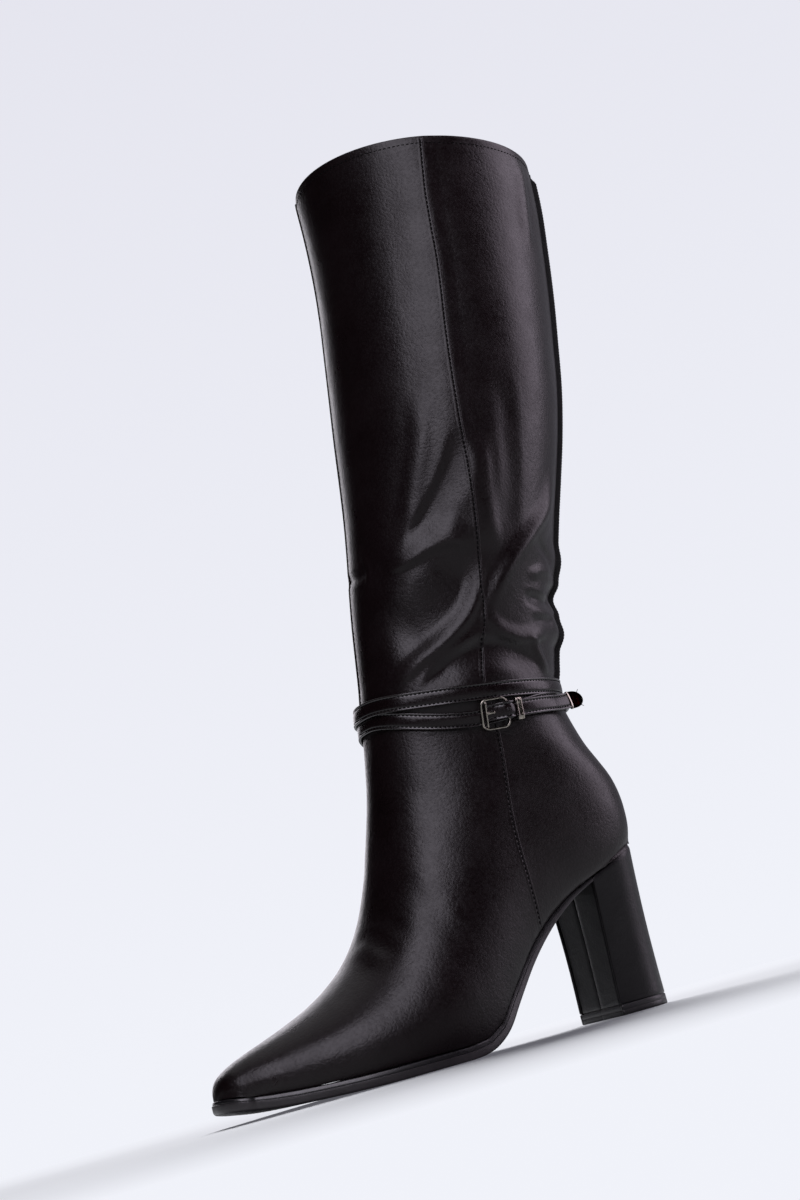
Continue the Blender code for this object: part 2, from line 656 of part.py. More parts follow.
def on_strap(distance, rise, out):
    """Point over the lower turn: distance behind the buckle, up its width, off its face."""
    place = place_behind(BUCKLE_AT, distance)
    low, high, outward = ankle_frame(place, lower_turn_z)
    behind = sum(ankle_frame(place - 0.01, lower_turn_z)[:2])
    before = sum(ankle_frame(place + 0.01, lower_turn_z)[:2])
    along = (behind - before) / np.linalg.norm(behind - before)
    up = high - low - np.dot(high - low, along) * along
    up = up / np.linalg.norm(up)
    return (low + high) / 2 + up * rise + outward * (UNDER_BAND + out)


def wire_loop(loop, out, wide, thick):
    """Flat wire of square section round a loop of (distance, rise) over the strap."""
    rows = []
    count = len(loop)
    for index in range(count):
        along = loop[(index + 1) % count] - loop[index - 1]
        side = np.array((along[1], -along[0])) / np.linalg.norm(along)
        middle = loop[index] - np.array((0.0, BUCKLE_LOWER))
        near = middle - side * wide / 2
        far = middle + side * wide / 2
        rows.append(np.array([on_strap(*near, out), on_strap(*far, out),
                              on_strap(*far, out + thick), on_strap(*near, out + thick)]))
    return ring_of(rows)


def rounded_loop(long, tall, corner, steps=3):
    """Rounded rectangle of (distance, rise) about the buckle's middle."""
    loop = []
    for index, (x, y) in enumerate(((1, 1), (-1, 1), (-1, -1), (1, -1))):
        centre = np.array((x * (long / 2 - corner), y * (tall / 2 - corner)))
        for step in range(steps + 1):
            turn = math.pi / 2 * (index + step / steps)
            loop.append(centre + corner * np.array((math.cos(turn), math.sin(turn))))
    return np.array(loop)


def bar(stations):
    """Bar along the strap through stations (distance, half width, underside, top)."""
    rows = []
    for distance, half, low, high in stations:
        rows.append(np.array([on_strap(distance, -half, low), on_strap(distance, half, low),
                              on_strap(distance, half, high),
                              on_strap(distance, -half, high)]))
    return loft(rows)


def make_buckle(metal):
    """Frame round the strap, and the prong from the free end's hole to the front bar."""
    loop = rounded_loop(BUCKLE_LONG - WIRE, BUCKLE_TALL - WIRE, 2.4)
    add_object("buckle_frame", *wire_loop(loop, BUCKLE_OFF, WIRE, WIRE), metal)
    stations = []
    for distance in np.linspace(-BUCKLE_LONG / 2 + 0.2, REAR_BAR - 0.6, 7):
        rest = WIRE + BUCKLE_OFF + GAP
        if distance > END_STARTS - 0.8:
            rest = end_lift(max(distance, END_STARTS)) + END_THICK + GAP
            rest = max(rest, end_lift(distance + 1.0) + END_THICK + GAP)
        stations.append((distance, 0.65, rest, rest + 1.2))
    add_object("buckle_prong", *bar(stations), metal)


def make_keeper(metal):
    """Metal loop over the free end, its legs down both edges of the strap."""
    inner = STRAP_WIDTH / 2 + 1.5 * GAP
    outer = inner + KEEPER_THICK
    floor = -STRAP_THICK - GAP
    under = end_lift(KEEPER_FROM) + END_THICK + 1.5 * GAP
    top = under + KEEPER_THICK
    arch = [(-outer, floor), (-inner, floor), (-inner, under), (inner, under),
            (inner, GAP), (outer, GAP), (outer, top), (-outer, top)]
    rows = []
    for distance in (KEEPER_FROM, KEEPER_FROM + KEEPER_LONG):
        rows.append(np.array([on_strap(distance, rise, out) for rise, out in arch]))
    add_object("strap_keeper", *loft(rows), metal)


def make_tip(metal):
    """Bullet-shaped metal end of the strap, straight off the end of the leather."""
    middle = end_lift(END_STOPS) + END_THICK / 2
    base = on_strap(END_STOPS, 0.0, middle)
    behind = base - on_strap(END_STOPS - 2.0, 0.0, end_lift(END_STOPS - 2.0) + END_THICK / 2)
    behind = behind / np.linalg.norm(behind)
    up = on_strap(END_STOPS, 1.0, middle) - base
    outward = np.cross(behind, up)
    rows = []
    for along, half_share, thick in TIP_ROWS:
        half = up * (STRAP_WIDTH / 2 + TIP_PROUD) * half_share
        centre = base + behind * (1.5 * GAP + TIP_LONG * along)
        out = outward * thick
        rows.append(np.array([
            centre - half - out / 2, centre + half - out / 2, centre + half + out / 2,
            centre + half * TIP_FLAT + out, centre - half * TIP_FLAT + out,
            centre - half + out / 2]))
    add_object("strap_tip", *loft(rows), metal)


def shaft_point(around, z):
    """Point on the inside of the shaft's wall."""
    place = (around % 1.0) * SECTION_CELLS
    cell = int(place) % SECTION_CELLS
    share = place - int(place)
    line = np.array([row[cell] * (1 - share) + row[cell + 1] * share
                     for row in SHAFT_ROWS])
    return np.array([np.interp(z, line[:, 2], line[:, axis]) for axis in range(3)])


def zip_frame():
    """The slider's place: point off the wall, sideways, up the zip, and outward."""
    low = shaft_point(SLIDER_AT, SLIDER_Z - SLIDER_SPAN)
    high = shaft_point(SLIDER_AT, SLIDER_Z + SLIDER_SPAN)
    step = 0.01
    before = shaft_point(SLIDER_AT - step, SLIDER_Z)
    after = shaft_point(SLIDER_AT + step, SLIDER_Z)
    up = (high - low) / np.linalg.norm(high - low)
    outward = np.cross(up, after - before)
    outward = outward / np.linalg.norm(outward)
    side = np.cross(up, outward)
    return (low + high) / 2 + outward * (WALL + GAP), side, up, outward


def on_zip(rows, frame, side_offset=0.0):
    """Points (rise, out) in the slider's own directions, at one offset to the side."""
    base, side, up, outward = frame
    return np.array([base + side * side_offset + up * rise + outward * out
                     for rise, out in rows])


def make_zip_slider(metal):
    """Slider of the zip; the bridge on it holds the pull's crossbar."""
    frame = zip_frame()
    plate = loft([on_zip(SLIDER_PLATE, frame, -SLIDER_HALF),
                  on_zip(SLIDER_PLATE, frame, SLIDER_HALF)])
    far_left = on_zip(BRIDGE_OUTER, frame, -BRIDGE_HALF)
    far_right = on_zip(BRIDGE_OUTER, frame, BRIDGE_HALF)
    near_left = on_zip(BRIDGE_INNER, frame, -BRIDGE_HALF)
    near_right = on_zip(BRIDGE_INNER, frame, BRIDGE_HALF)
    rows = [np.array(row) for row in zip(far_left, far_right, near_right, near_left)]
    slider = add_object("zip_slider", *plate, metal, frame[0])
    bridge = add_object("zip_bridge_tool", *loft(rows), metal, frame[0])
    bridge.hide_render = True
    union = slider.modifiers.new("bridge", "BOOLEAN")
    union.operation = "UNION"
    union.solver = "EXACT"
    union.object = bridge


def make_zip_pull(metal):
    """Pull: a crossbar under the bridge, two arms that pass it, and the tab below."""
    base, side, up, outward = zip_frame()
    axis = base + up * PULL_RISE + outward * PULL_OUT
    rows = []
    for row in PULL:
        near = axis + side * row.hole_side + up * row.hole_rise
        far = axis + side * row.edge_side + up * row.edge_rise
        half = outward * PULL_THICK / 2
        rows.append(np.array([near - half, far - half, far + half, near + half]))
    add_object("zip_pull", *ring_of(rows), metal, axis)


def main():
    for stale in list(bpy.data.objects):
        bpy.data.objects.remove(stale)
    leather = material("black_leather", (0.012, 0.012, 0.013), 0.42)
    rubber = material("sole_rubber", (0.015, 0.015, 0.015), 0.35)
    board = material("insole_fabric", (0.05, 0.045, 0.04), 0.8)
    metal = material("dark_metal", (0.35, 0.34, 0.36), 0.2, 1.0)
    make_outsole(rubber)
    make_top_piece(rubber)
    make_heel(leather)
    make_insole(board)
    make_upper(leather)
    make_shaft(leather)
    make_strap(leather)
    make_buckle(metal)
    make_keeper(metal)
    make_tip(metal)
    make_zip_slider(metal)
    make_zip_pull(metal)


main()
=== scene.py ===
"""Left knee-high block-heel boot with a twice-wrapped ankle strap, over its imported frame.

Sizes are in millimetres and turned to metres when a mesh is made. The toe points to -Y,
the outer side is +X, +Z is up, and the origin is the centre of the heel's ground face."""
import math
from collections import namedtuple

import bmesh
import bpy
import numpy as np
from mathutils import Matrix, Vector
from mathutils.bvhtree import BVHTree


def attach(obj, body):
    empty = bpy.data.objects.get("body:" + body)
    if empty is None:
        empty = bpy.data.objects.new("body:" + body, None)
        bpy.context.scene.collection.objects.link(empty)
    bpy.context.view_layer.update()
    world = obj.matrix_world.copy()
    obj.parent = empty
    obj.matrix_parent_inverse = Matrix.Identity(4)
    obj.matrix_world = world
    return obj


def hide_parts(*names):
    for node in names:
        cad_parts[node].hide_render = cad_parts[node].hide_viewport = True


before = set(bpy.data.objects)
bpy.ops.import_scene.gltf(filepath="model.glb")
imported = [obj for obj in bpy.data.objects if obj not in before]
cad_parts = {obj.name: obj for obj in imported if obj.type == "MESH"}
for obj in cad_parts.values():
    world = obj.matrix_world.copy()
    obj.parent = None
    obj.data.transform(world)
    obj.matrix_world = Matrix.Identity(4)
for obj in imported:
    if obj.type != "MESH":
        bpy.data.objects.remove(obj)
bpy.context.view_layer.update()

MM = 0.001
GAP = 0.3                      # air between neighbouring solids
WALL = 1.6                     # thickness of the leather
BODY = "boot"

# ---- sizes of the last, as in the solids ------------------------------------------------
TOE_Y = -215.7
TOE_ROUND_Y = -204.0
SEAT_ROUND_Y = -4.0
SEAT_BACK_Y = 18.3
BREAST_Y = -14.5
SOLE_TOE_OVERHANG = 3.2
INSOLE_THICK = 2.0
INSOLE_MARGIN = 1.2
INSOLE_TOE_Y = -209.0
TOP_PIECE_THICK = 5.0
HEEL_PROUD = 1.1
HEEL_BASE_WIDTH = 44.6
HEEL_BASE_DEPTH = 33.4
HEEL_TAPER = 1.15
HEEL_WAIST = 0.03
STRAP_WIDTH = 8.5
STRAP_THICK = 1.5

# cells of the fine grid in one side of a section: below and above its widest place
LOWER_CELLS = 48
UPPER_CELLS = 72
SECTION_CELLS = 2 * (LOWER_CELLS + UPPER_CELLS)
ROW_SPACING = 1.15

# outline of the bottom of the last (its feather line), seen from above
Outline = namedtuple("Outline", "y outer inner")
OUTLINE = [Outline(*row) for row in (
    (-204, 14, 13), (-196, 18, 17.2), (-185, 23.2, 22.6), (-172, 28.6, 28), (-158, 33.4, 32.6),
    (-144, 37, 35.6), (-130, 39.4, 36.8), (-116, 40.4, 35.6), (-102, 39.6, 31.6),
    (-88, 36.6, 27), (-74, 32.6, 24), (-60, 29, 22.6), (-46, 26.4, 22.2), (-30, 25, 22.6),
    (-14, 24.8, 23.6), (-4, 24.8, 24.2), (22, 24.8, 24.2)
)]

# long profile of the sole: underside, thickness, and how far its edge stands out
Sole = namedtuple("Sole", "y under thick edge")
SOLE = [Sole(*row) for row in (
    (-220, 7.4, 6, 3), (-210, 5.2, 6, 3.1), (-198, 3.2, 6.1, 3.1), (-175, 1.1, 6.2, 3.1),
    (-155, 0.2, 6.2, 3.2), (-142, 0, 6.2, 3.2), (-125, 0, 6.2, 3.2), (-108, 0, 6.1, 3.2),
    (-101, 0.6, 6, 3), (-94, 2.6, 5.8, 2.7), (-83, 9.7, 5.4, 2.3), (-76, 17.3, 5.2, 2),
    (-68, 26, 5, 1.8), (-60, 34.4, 4.7, 1.7), (-52, 41.8, 4.5, 1.6), (-40, 51.4, 3.6, 1.5),
    (-27, 59.6, 2.7, 1.3), (-14.5, 65.3, 2, 1.2), (0, 70.7, 2, 1.2), (12, 75, 2, 1.2),
    (24, 79.4, 2, 1.2)
)]

# Sections of the foot: each runs from the sole (or the back of the heel) to the ridge of
# the foot; heel rows fan out from the front of the ankle. wide_at is the share of the way
# up where the section is widest; crown above 1 peaks its top, flare below 1 fills its
# bottom.
Section = namedtuple("Section", "y top_y top_z top_x outer inner wide_at crown flare")
FOOT = [Section(*row) for row in (
    (-214.9, -214.4, 18.4, 0, 5.6, 5.5, 0.4, 0.8, 1.25),
    (-213.4, -212.8, 20.8, 0, 8.8, 8.6, 0.38, 0.8, 1.25),
    (-210.4, -209.8, 23, -0.2, 11.7, 11.2, 0.36, 0.82, 1.25),
    (-205.2, -204.8, 25.4, -0.4, 14.7, 13.9, 0.34, 0.85, 1.25),
    (-198, -197.8, 28, -0.7, 18.6, 17.8, 0.33, 0.88, 1.25),
    (-187, -187, 31.5, -1.2, 23.9, 23.2, 0.32, 0.92, 1.25),
    (-174, -174, 35.9, -1.8, 29.5, 28.8, 0.31, 0.96, 1.25),
    (-161, -160.6, 41.3, -2.3, 34.5, 33.6, 0.3, 1, 1.25),
    (-147, -148.4, 48, -2.8, 38.8, 37.2, 0.29, 1.04, 1.25),
    (-134, -137.6, 56.4, -3, 41.4, 38.9, 0.27, 1.08, 1.25),
    (-121, -128.4, 67.2, -3, 42.8, 39.2, 0.26, 1.12, 1.25),
    (-109, -121.8, 78.4, -3, 42.9, 38.4, 0.26, 1.14, 1.25),
    (-98, -117, 89.4, -2.8, 41.8, 36.8, 0.28, 1.14, 1.25),
    (-88, -113.4, 99, -2.6, 40.2, 35.4, 0.3, 1.13, 1.25),
    (-78, -110.5, 107.6, -2.4, 38.6, 34.6, 0.33, 1.09, 1.25),
    (-67, -107.9, 115.6, -2.2, 37.2, 34, 0.36, 1.07, 1.22),
    (-55, -105.6, 123, -2, 36, 33.4, 0.4, 1.05, 1.2),
    (-42, -103.6, 130, -1.8, 35, 33, 0.43, 1.02, 1.2),
    (-28, -101.9, 136.5, -1.6, 34.3, 32.7, 0.46, 0.98, 1.2),
    (-14, -100.5, 142.5, -1.4, 33.9, 32.7, 0.49, 0.92, 1.2),
    (0, -99.2, 148, -1.2, 33.8, 32.8, 0.51, 0.86, 1.17),
    (10, -98.2, 152.5, -1, 33.8, 33, 0.52, 0.83, 1.1),
    (16.3, -97.4, 156.4, -0.8, 33.8, 33.1, 0.52, 0.81, 1)
)]

# closed rings: back of the heel and ankle
Ring = namedtuple("Ring", "back_y back_z front_y front_z front_x outer inner crown flare")
RINGS = [Ring(*row) for row in (
    (18.3, 79.7, -96.8, 159.4, -0.7, 33.8, 33.2, 0.79, 0.6),
    (20.9, 86.5, -96.3, 162, -0.6, 33.8, 33.3, 0.78, 0.6),
    (21.9, 93, -96, 164, -0.5, 33.9, 33.4, 0.78, 0.63),
    (21.5, 101, -95.8, 165.8, -0.4, 34, 33.6, 0.79, 0.67),
    (19.3, 110, -95.6, 167.2, -0.3, 34.2, 33.9, 0.81, 0.73),
    (15.1, 119.5, -95.5, 168.3, -0.2, 34.6, 34.3, 0.845, 0.8),
    (10.6, 129.5, -95.4, 169.2, -0.1, 35, 34.8, 0.88, 0.86),
    (7.4, 140, -95.3, 169.9, 0, 35.5, 35.3, 0.92, 0.92),
    (4.8, 151, -95.2, 170.4, 0, 36, 35.8, 0.96, 0.96),
    (3.8, 161.5, -95.2, 171, 0, 36.3, 36, 1, 1)
)]

# rings of the shaft up to the collar, their fronts tilted up
Shaft = namedtuple("Shaft", "z centre_y depth outer inner tilt flare")
SHAFT = [Shaft(*row) for row in (
    (178, -43.2, 49.6, 36.8, 36.4, 7, 1), (190, -40.5, 50.1, 37.8, 37.2, 9.5, 1),
    (205, -37, 50.8, 39.4, 38.8, 12, 1), (222, -32.9, 51.2, 41.8, 41, 13.5, 1),
    (240, -28.3, 51.6, 44.4, 43.6, 14, 1), (260, -23, 52.7, 47.4, 46.6, 14, 1),
    (280, -17.7, 54.4, 50.2, 49.6, 13.5, 0.99), (302, -12.1, 56.4, 52.6, 52, 12.5, 0.98),
    (326, -6.6, 57.8, 54.4, 54, 11.5, 0.96), (350, -2, 58.5, 55.4, 55, 10.5, 0.95),
    (375, 2.6, 59.1, 56, 55.6, 9.8, 0.93), (400, 6.3, 59.8, 56.4, 56, 9.2, 0.91),
    (422, 8.8, 60.7, 56.8, 56.4, 8.4, 0.9), (444.5, 9.9, 61.2, 57.2, 56.8, 7.8, 0.9)
)]


# ---- helpers: curves through points and tables ------------------------------------------
def unit(vectors):
    size = np.linalg.norm(vectors, axis=-1, keepdims=True)
    return vectors / np.where(size > 1e-9, size, 1.0)


def smoothstep(low, high, value):
    t = np.clip((np.asarray(value, float) - low) / (high - low), 0.0, 1.0)
    return t * t * (3 - 2 * t)


def through(knots, values, at):
    """Smooth curve through (knots, values), read at one or more places."""
    knots = np.asarray(knots, float)
    values = np.asarray(values, float)
    slopes = np.gradient(values, knots, axis=0)
    at = np.clip(np.asarray(at, float), knots[0], knots[-1])
    cell = np.clip(np.searchsorted(knots, at, side="right") - 1, 0, len(knots) - 2)
    shape = at.shape + (1,) * (values.ndim - 1)
    width = (knots[cell + 1] - knots[cell]).reshape(shape)
    t = (at - knots[cell]).reshape(shape) / width
    start = values[cell] * (1 + 2 * t) * (1 - t) ** 2 + slopes[cell] * width * t * (1 - t) ** 2
    end = values[cell + 1] * (3 - 2 * t) * t ** 2 - slopes[cell + 1] * width * (1 - t) * t ** 2
    return start + end


def lengths_along(points):
    """Distance along a line to each of its points; for rows of points, their average."""
    steps = np.linalg.norm(np.diff(points, axis=0), axis=-1)
    steps = steps.reshape(len(steps), -1).mean(axis=1)
    return np.concatenate([[0.0], np.cumsum(steps)])


def even(points, step, ends=1, least=2):
    """Points of a smooth curve through the given ones, every step or so."""
    points = np.array(points, float)
    knots = lengths_along(points)
    count = max(least, int(knots[-1] / step) + ends)
    return through(knots, points, np.linspace(0.0, knots[-1], count))


def blurred(rows, times):
    """The rows averaged with their neighbours, the ends kept."""
    rows = np.array(rows)
    for _ in range(times):
        rows[1:-1] = (rows[:-2] + 2 * rows[1:-1] + rows[2:]) / 4
    return rows


def turns(count):
    """Even turns round a circle."""
    return np.arange(count) * 2 * math.pi / count


def swollen(value, power):
    """A sine or cosine raised to a power with its sign; below 1 it squares a round."""
    return math.copysign(abs(value) ** power, value)


def at_y(rows, name, y):
    """A column of a table, read at y."""
    return float(through([row.y for row in rows], [getattr(row, name) for row in rows], y))


def half_width(y, side):
    """Half-width of the feather line at y; side is "outer" or "inner"."""
    reach = at_y(OUTLINE, side, y)
    if y < TOE_ROUND_Y:
        reach = half_width(TOE_ROUND_Y, side)
        return reach * rounding((TOE_ROUND_Y - y) / (TOE_ROUND_Y - TOE_Y), 2.2)
    if y > SEAT_ROUND_Y:
        return reach * rounding((y - SEAT_ROUND_Y) / (SEAT_BACK_Y - SEAT_ROUND_Y), 2.3)
    return reach


def rounding(share, power):
    """1 at the start of a rounded end, 0 at its tip."""
    return max(0.0, 1.0 - min(share, 1.0) ** power) ** (1.0 / power)


def sole_under(y):
    return at_y(SOLE, "under", y)


def sole_slope(y):
    return sole_under(y + 0.5) - sole_under(y - 0.5)


def sole_over(y):
    """Height of the sole's upper side, from its underside and its thickness."""
    return sole_under(y) + at_y(SOLE, "thick", y) * math.hypot(1.0, sole_slope(y))


SEAT_KNOTS = [-220.0] + [row.y for row in FOOT] + [24.0]
SEAT_LINE = [sole_over(y) for y in SEAT_KNOTS]


def sole_top(y):
    """The line that upper, insole and heel share: straight between the foot's sections."""
    return float(np.interp(y, SEAT_KNOTS, SEAT_LINE))


# ---- sections of the upper and the shaft ------------------------------------------------
def section_points(bottom, top, flats, reaches, wide_at, crown, flare):
    """A section from its outer bottom edge over the ridge to its inner bottom edge."""
    low = np.linspace(0.0, math.pi / 2, LOWER_CELLS + 1)
    high = np.linspace(0.0, math.pi / 2, UPPER_CELLS + 1)[1:]
    up = np.concatenate([wide_at * (1.0 - np.cos(low)),
                         wide_at + (1.0 - wide_at) * np.sin(high)])
    middle = np.outer(1.0 - up, bottom) + np.outer(up, top)
    sides = []
    for sign, flat, reach in ((1, flats[0], reaches[0]), (-1, flats[1], reaches[1])):
        across = np.concatenate([flat + (reach - flat) * np.sin(low) ** flare,
                                 reach * np.maximum(np.cos(high), 0.0) ** crown])
        sides.append(middle + np.outer(sign * across, (1.0, 0.0, 0.0)))
    return np.concatenate([sides[0], sides[1][::-1][1:]])


def foot_section(row):
    bottom = (0.0, row.y, sole_top(row.y) + GAP)
    top = (row.top_x, row.top_y, row.top_z)
    flats = (half_width(row.y, "outer"), half_width(row.y, "inner"))
    return section_points(bottom, top, flats, (row.outer, row.inner), row.wide_at,
                          row.crown, row.flare)


def ring_section(row):
    bottom = (0.0, row.back_y, row.back_z)
    top = (row.front_x, row.front_y, row.front_z)
    return section_points(bottom, top, (0.0, 0.0), (row.outer, row.inner), 0.5, row.crown,
                          row.flare)


def shaft_ring(row):
    """A row of the shaft as a ring whose front is tilted up."""
    tilt = math.radians(row.tilt)
    run = row.depth * math.cos(tilt)
    rise = row.depth * math.sin(tilt)
    return Ring(row.centre_y + run, row.z - rise, row.centre_y - run, row.z + rise, 0.0,
                row.outer, row.inner, 1.0, row.flare)


UPPER_ROWS = [foot_section(row) for row in FOOT] + [ring_section(row) for row in RINGS]
SHAFT_ROWS = [ring_section(shaft_ring(row)) for row in SHAFT]


# ---- the skin: a fine grid over the last, with its folds --------------------------------
def toe_cap():
    """Rows that close the toe in front of the first section, standing on the sole."""
    foot = np.array((0.0, FOOT[0].y, sole_top(FOOT[0].y) + GAP))
    return [foot + (UPPER_ROWS[0] - foot) * scale - np.array((0.0, forward, 0.0))
            for scale, forward in ((0.0, 0.86), (0.3, 0.8), (0.58, 0.62), (0.82, 0.33))]


def grid_normals(grid, open_rows):
    """Outward normals of the grid; the first rows are open at the feather line, and turn
    there from facing down to facing out."""
    across = np.gradient(grid, axis=1)
    across[open_rows:, [0, -1]] = (grid[open_rows:, 1] - grid[open_rows:, -2])[:, None]
    along = np.gradient(grid, axis=0)
    normals = unit(np.cross(along, across))
    feather = along[:open_rows, [0, -1]] * np.array((1.0, 1.0, 0.0))
    flat = unit(np.cross(feather, (0.0, 0.0, 1.0)) * np.array((1.0, -1.0))[None, :, None])
    half = grid.shape[1] // 2
    for side, columns in ((0, slice(0, half)), (1, slice(half, None))):
        part = normals[:open_rows, columns]
        down = smoothstep(0.1, 0.6, -part[..., 2])[..., None]
        normals[:open_rows, columns] = unit(part * (1 - down) + flat[:, side][:, None] * down)
    normals[0] = (0.0, -1.0, 0.0)
    return normals


# Height of each fold (troughs are negative), its reach to the left and to the right of its
# line as seen from outside, and the line on the leather.
FOLDS = (
    # the outer seam as a soft ridge, and the fullness of the foot in front of it
    (1, 7, 22, ((58, 2, 540), (58, -8, 448), (58, -14, 416), (57, -18, 379), (55, -24, 339),
     (53, -28, 304), (50, -31, 265), (46, -35, 231))),
    (1.1, 24, 26, ((34, -54, 158), (33, -61, 134), (35, -66, 105), (37, -72, 76),
     (39, -86, 51), (43, -112, 28), (42, -150, 12))),
    # front panel, outer side: two hanging folds, the hollow under them with its crisp upper
    # edge, and the ridge that runs round it down to the strap over a deep valley
    (0.9, 7, 9, ((45, -43, 322), (44, -46, 306), (43, -48, 295), (41, -52, 284),
     (38, -56, 273), (35, -60, 262), (33, -64, 251), (31, -67, 240))),
    (-1.6, 14, 6, ((51, -30, 296), (49, -35, 284), (47, -40, 275), (43, -47, 265),
     (39, -55, 255), (34, -62, 246), (30, -67, 237))),
    (1.6, 15, 4.5, ((20, -78, 236), (27, -72, 235), (32, -67, 236), (36, -61, 238),
     (40, -53, 240), (43, -45, 239), (45, -40, 235), (45, -38, 231))),
    (-3, 12, 24, ((45, -40, 240), (43, -44, 228), (40, -51, 214), (35, -64, 203),
     (27, -77, 197), (16, -85, 192))),
    (1.3, 4.5, 8, ((46, -35, 240), (45, -36, 232), (43, -38, 222), (42, -41, 213),
     (40, -48, 203), (36, -61, 194), (30, -74, 187), (24, -82, 181), (18, -88, 174),
     (12, -92, 166))),
    (-2.6, 5, 15, ((26, -82, 166), (31, -74, 174), (35, -64, 182), (37, -55, 185),
     (39, -45, 187), (39, -36, 186), (37, -26, 182), (32, -16, 175), (27, -8, 168))),
    (0.45, 2.5, 3, ((30, -75, 175), (35, -65, 184), (37, -56, 188), (39, -46, 190))),
    # rear panel, outer side: a hanging trough, the sweep down to the ankle round its
    # fullness, and the crumples at the back
    (1.4, 8, 14, ((52, -22, 292), (51, -24, 276), (50, -26, 264), (49, -27, 252),
     (48, -28, 240), (47, -28, 228))),
    (-0.9, 9, 9, ((54, -2, 326), (54, -3, 304), (52, -6, 284), (50, -9, 265), (48, -13, 252),
     (46, -17, 238), (44, -20, 226))),
    (1.7, 14, 8, ((30, 26, 276), (33, 20, 262), (35, 14, 252), (40, -1, 239), (43, -17, 226),
     (42, -27, 216), (41, -34, 206), (40, -37, 200), (40, -39, 190))),
    (1, 4.5, 5, ((33, 20, 264), (35, 14, 252), (40, -1, 239), (43, -17, 226), (42, -27, 216),
     (41, -34, 206), (40, -37, 199), (40, -38, 193))),
    (1.2, 7, 4, ((40, -42, 206), (40, -38, 198), (39, -33, 192), (37, -24, 188),
     (33, -12, 187), (25, 1, 191))),
    (-1.9, 3.8, 6, ((39, -16, 208), (37, -12, 207), (35, -7, 206), (28, 2, 204),
     (18, 9, 204))),
    (-0.9, 3.5, 3.5, ((35, -14, 195), (32, -8, 195), (27, 0, 195), (20, 6, 195))),
    (0.8, 4, 4, ((39, -12, 216), (37, -6, 218), (32, 5, 219), (25, 10, 218))),
    (-0.8, 4, 4, ((40, -4, 234), (37, 3, 231), (30, 9, 226), (24, 12, 224))),
    (1.3, 5, 3.5, ((35, -19, 190), (33, -14, 184), (31, -12, 178), (28, -9, 171),
     (24, -5, 164))),
    # pucker beside the front seam
    (-0.8, 4.5, 4.5, ((-16, -79, 241), (-8, -82, 240), (0, -83, 239), (7, -82, 238),
     (14, -80, 237))),
    (0.4, 3, 3, ((8, -82, 250), (12, -81, 243), (13, -81, 236), (11, -82, 230),
     (6, -84, 225))),
    # across the back seam
    (-3, 8, 8, ((32, -4, 208), (26, 4, 208), (12, 13, 208), (0, 14, 208), (-12, 12, 208),
     (-24, 4, 209))),
    (2.4, 9, 9, ((30, -4, 190), (20, 7, 190), (8, 12, 190), (-6, 12, 190), (-20, 6, 190),
     (-30, -5, 190))),
    (1.5, 10, 10, ((28, 8, 228), (12, 17, 228), (0, 19, 228), (-14, 16, 228), (-28, 6, 228))),
    # inner side: the same slack, thrown into its own folds beside the zip
    (1.4, 10, 7, ((-16, -90, 172), (-24, -82, 182), (-31, -72, 191), (-36, -62, 202),
     (-40, -54, 216), (-43, -48, 232))),
    (-1.7, 9, 8, ((-27, -78, 170), (-33, -68, 180), (-37, -57, 186), (-39, -50, 188),
     (-40, -44, 187))),
    (-1.2, 10, 7, ((-28, -73, 232), (-35, -63, 235), (-40, -55, 240), (-42, -50, 246))),
    (1.3, 8, 10, ((-34, 12, 250), (-40, -2, 236), (-42, -14, 222), (-41, -24, 210),
     (-40, -32, 200))),
    (-1, 7, 7, ((-40, 2, 252), (-44, -12, 240), (-44, -22, 228), (-43, -30, 216))),
    (-1.5, 6, 6, ((-20, 8, 203), (-29, 0, 201), (-34, -8, 199), (-37, -18, 198))),
    (-0.9, 5, 5, ((-22, 5, 188), (-29, -2, 186), (-34, -12, 184), (-36, -22, 184))),
    (0.9, 5.5, 5.5, ((-22, 7, 196), (-30, -1, 193), (-35, -12, 191), (-37, -24, 191))),
    # soft creases where the foot bends, and a ripple under the collar at the back
    (-0.28, 5, 7, ((-4, -131, 66), (10, -128, 66), (22, -127, 60), (31, -124, 54))),
    (-0.18, 5, 6, ((2, -124, 76), (14, -122, 73), (25, -119, 66), (33, -115, 58))),
    (0.25, 6, 7, ((-6, -136, 60), (8, -134, 61), (20, -133, 56), (30, -130, 49))),
    (1.2, 4, 8, ((38, 46, 440), (39, 43, 424), (38, 38, 404), (36, 34, 384))),
)
FOLD_FADE = 0.28               # share of a fold's length over which each end fades
FOLD_SKIN = 12.0               # a fold acts on leather that is this near to its line


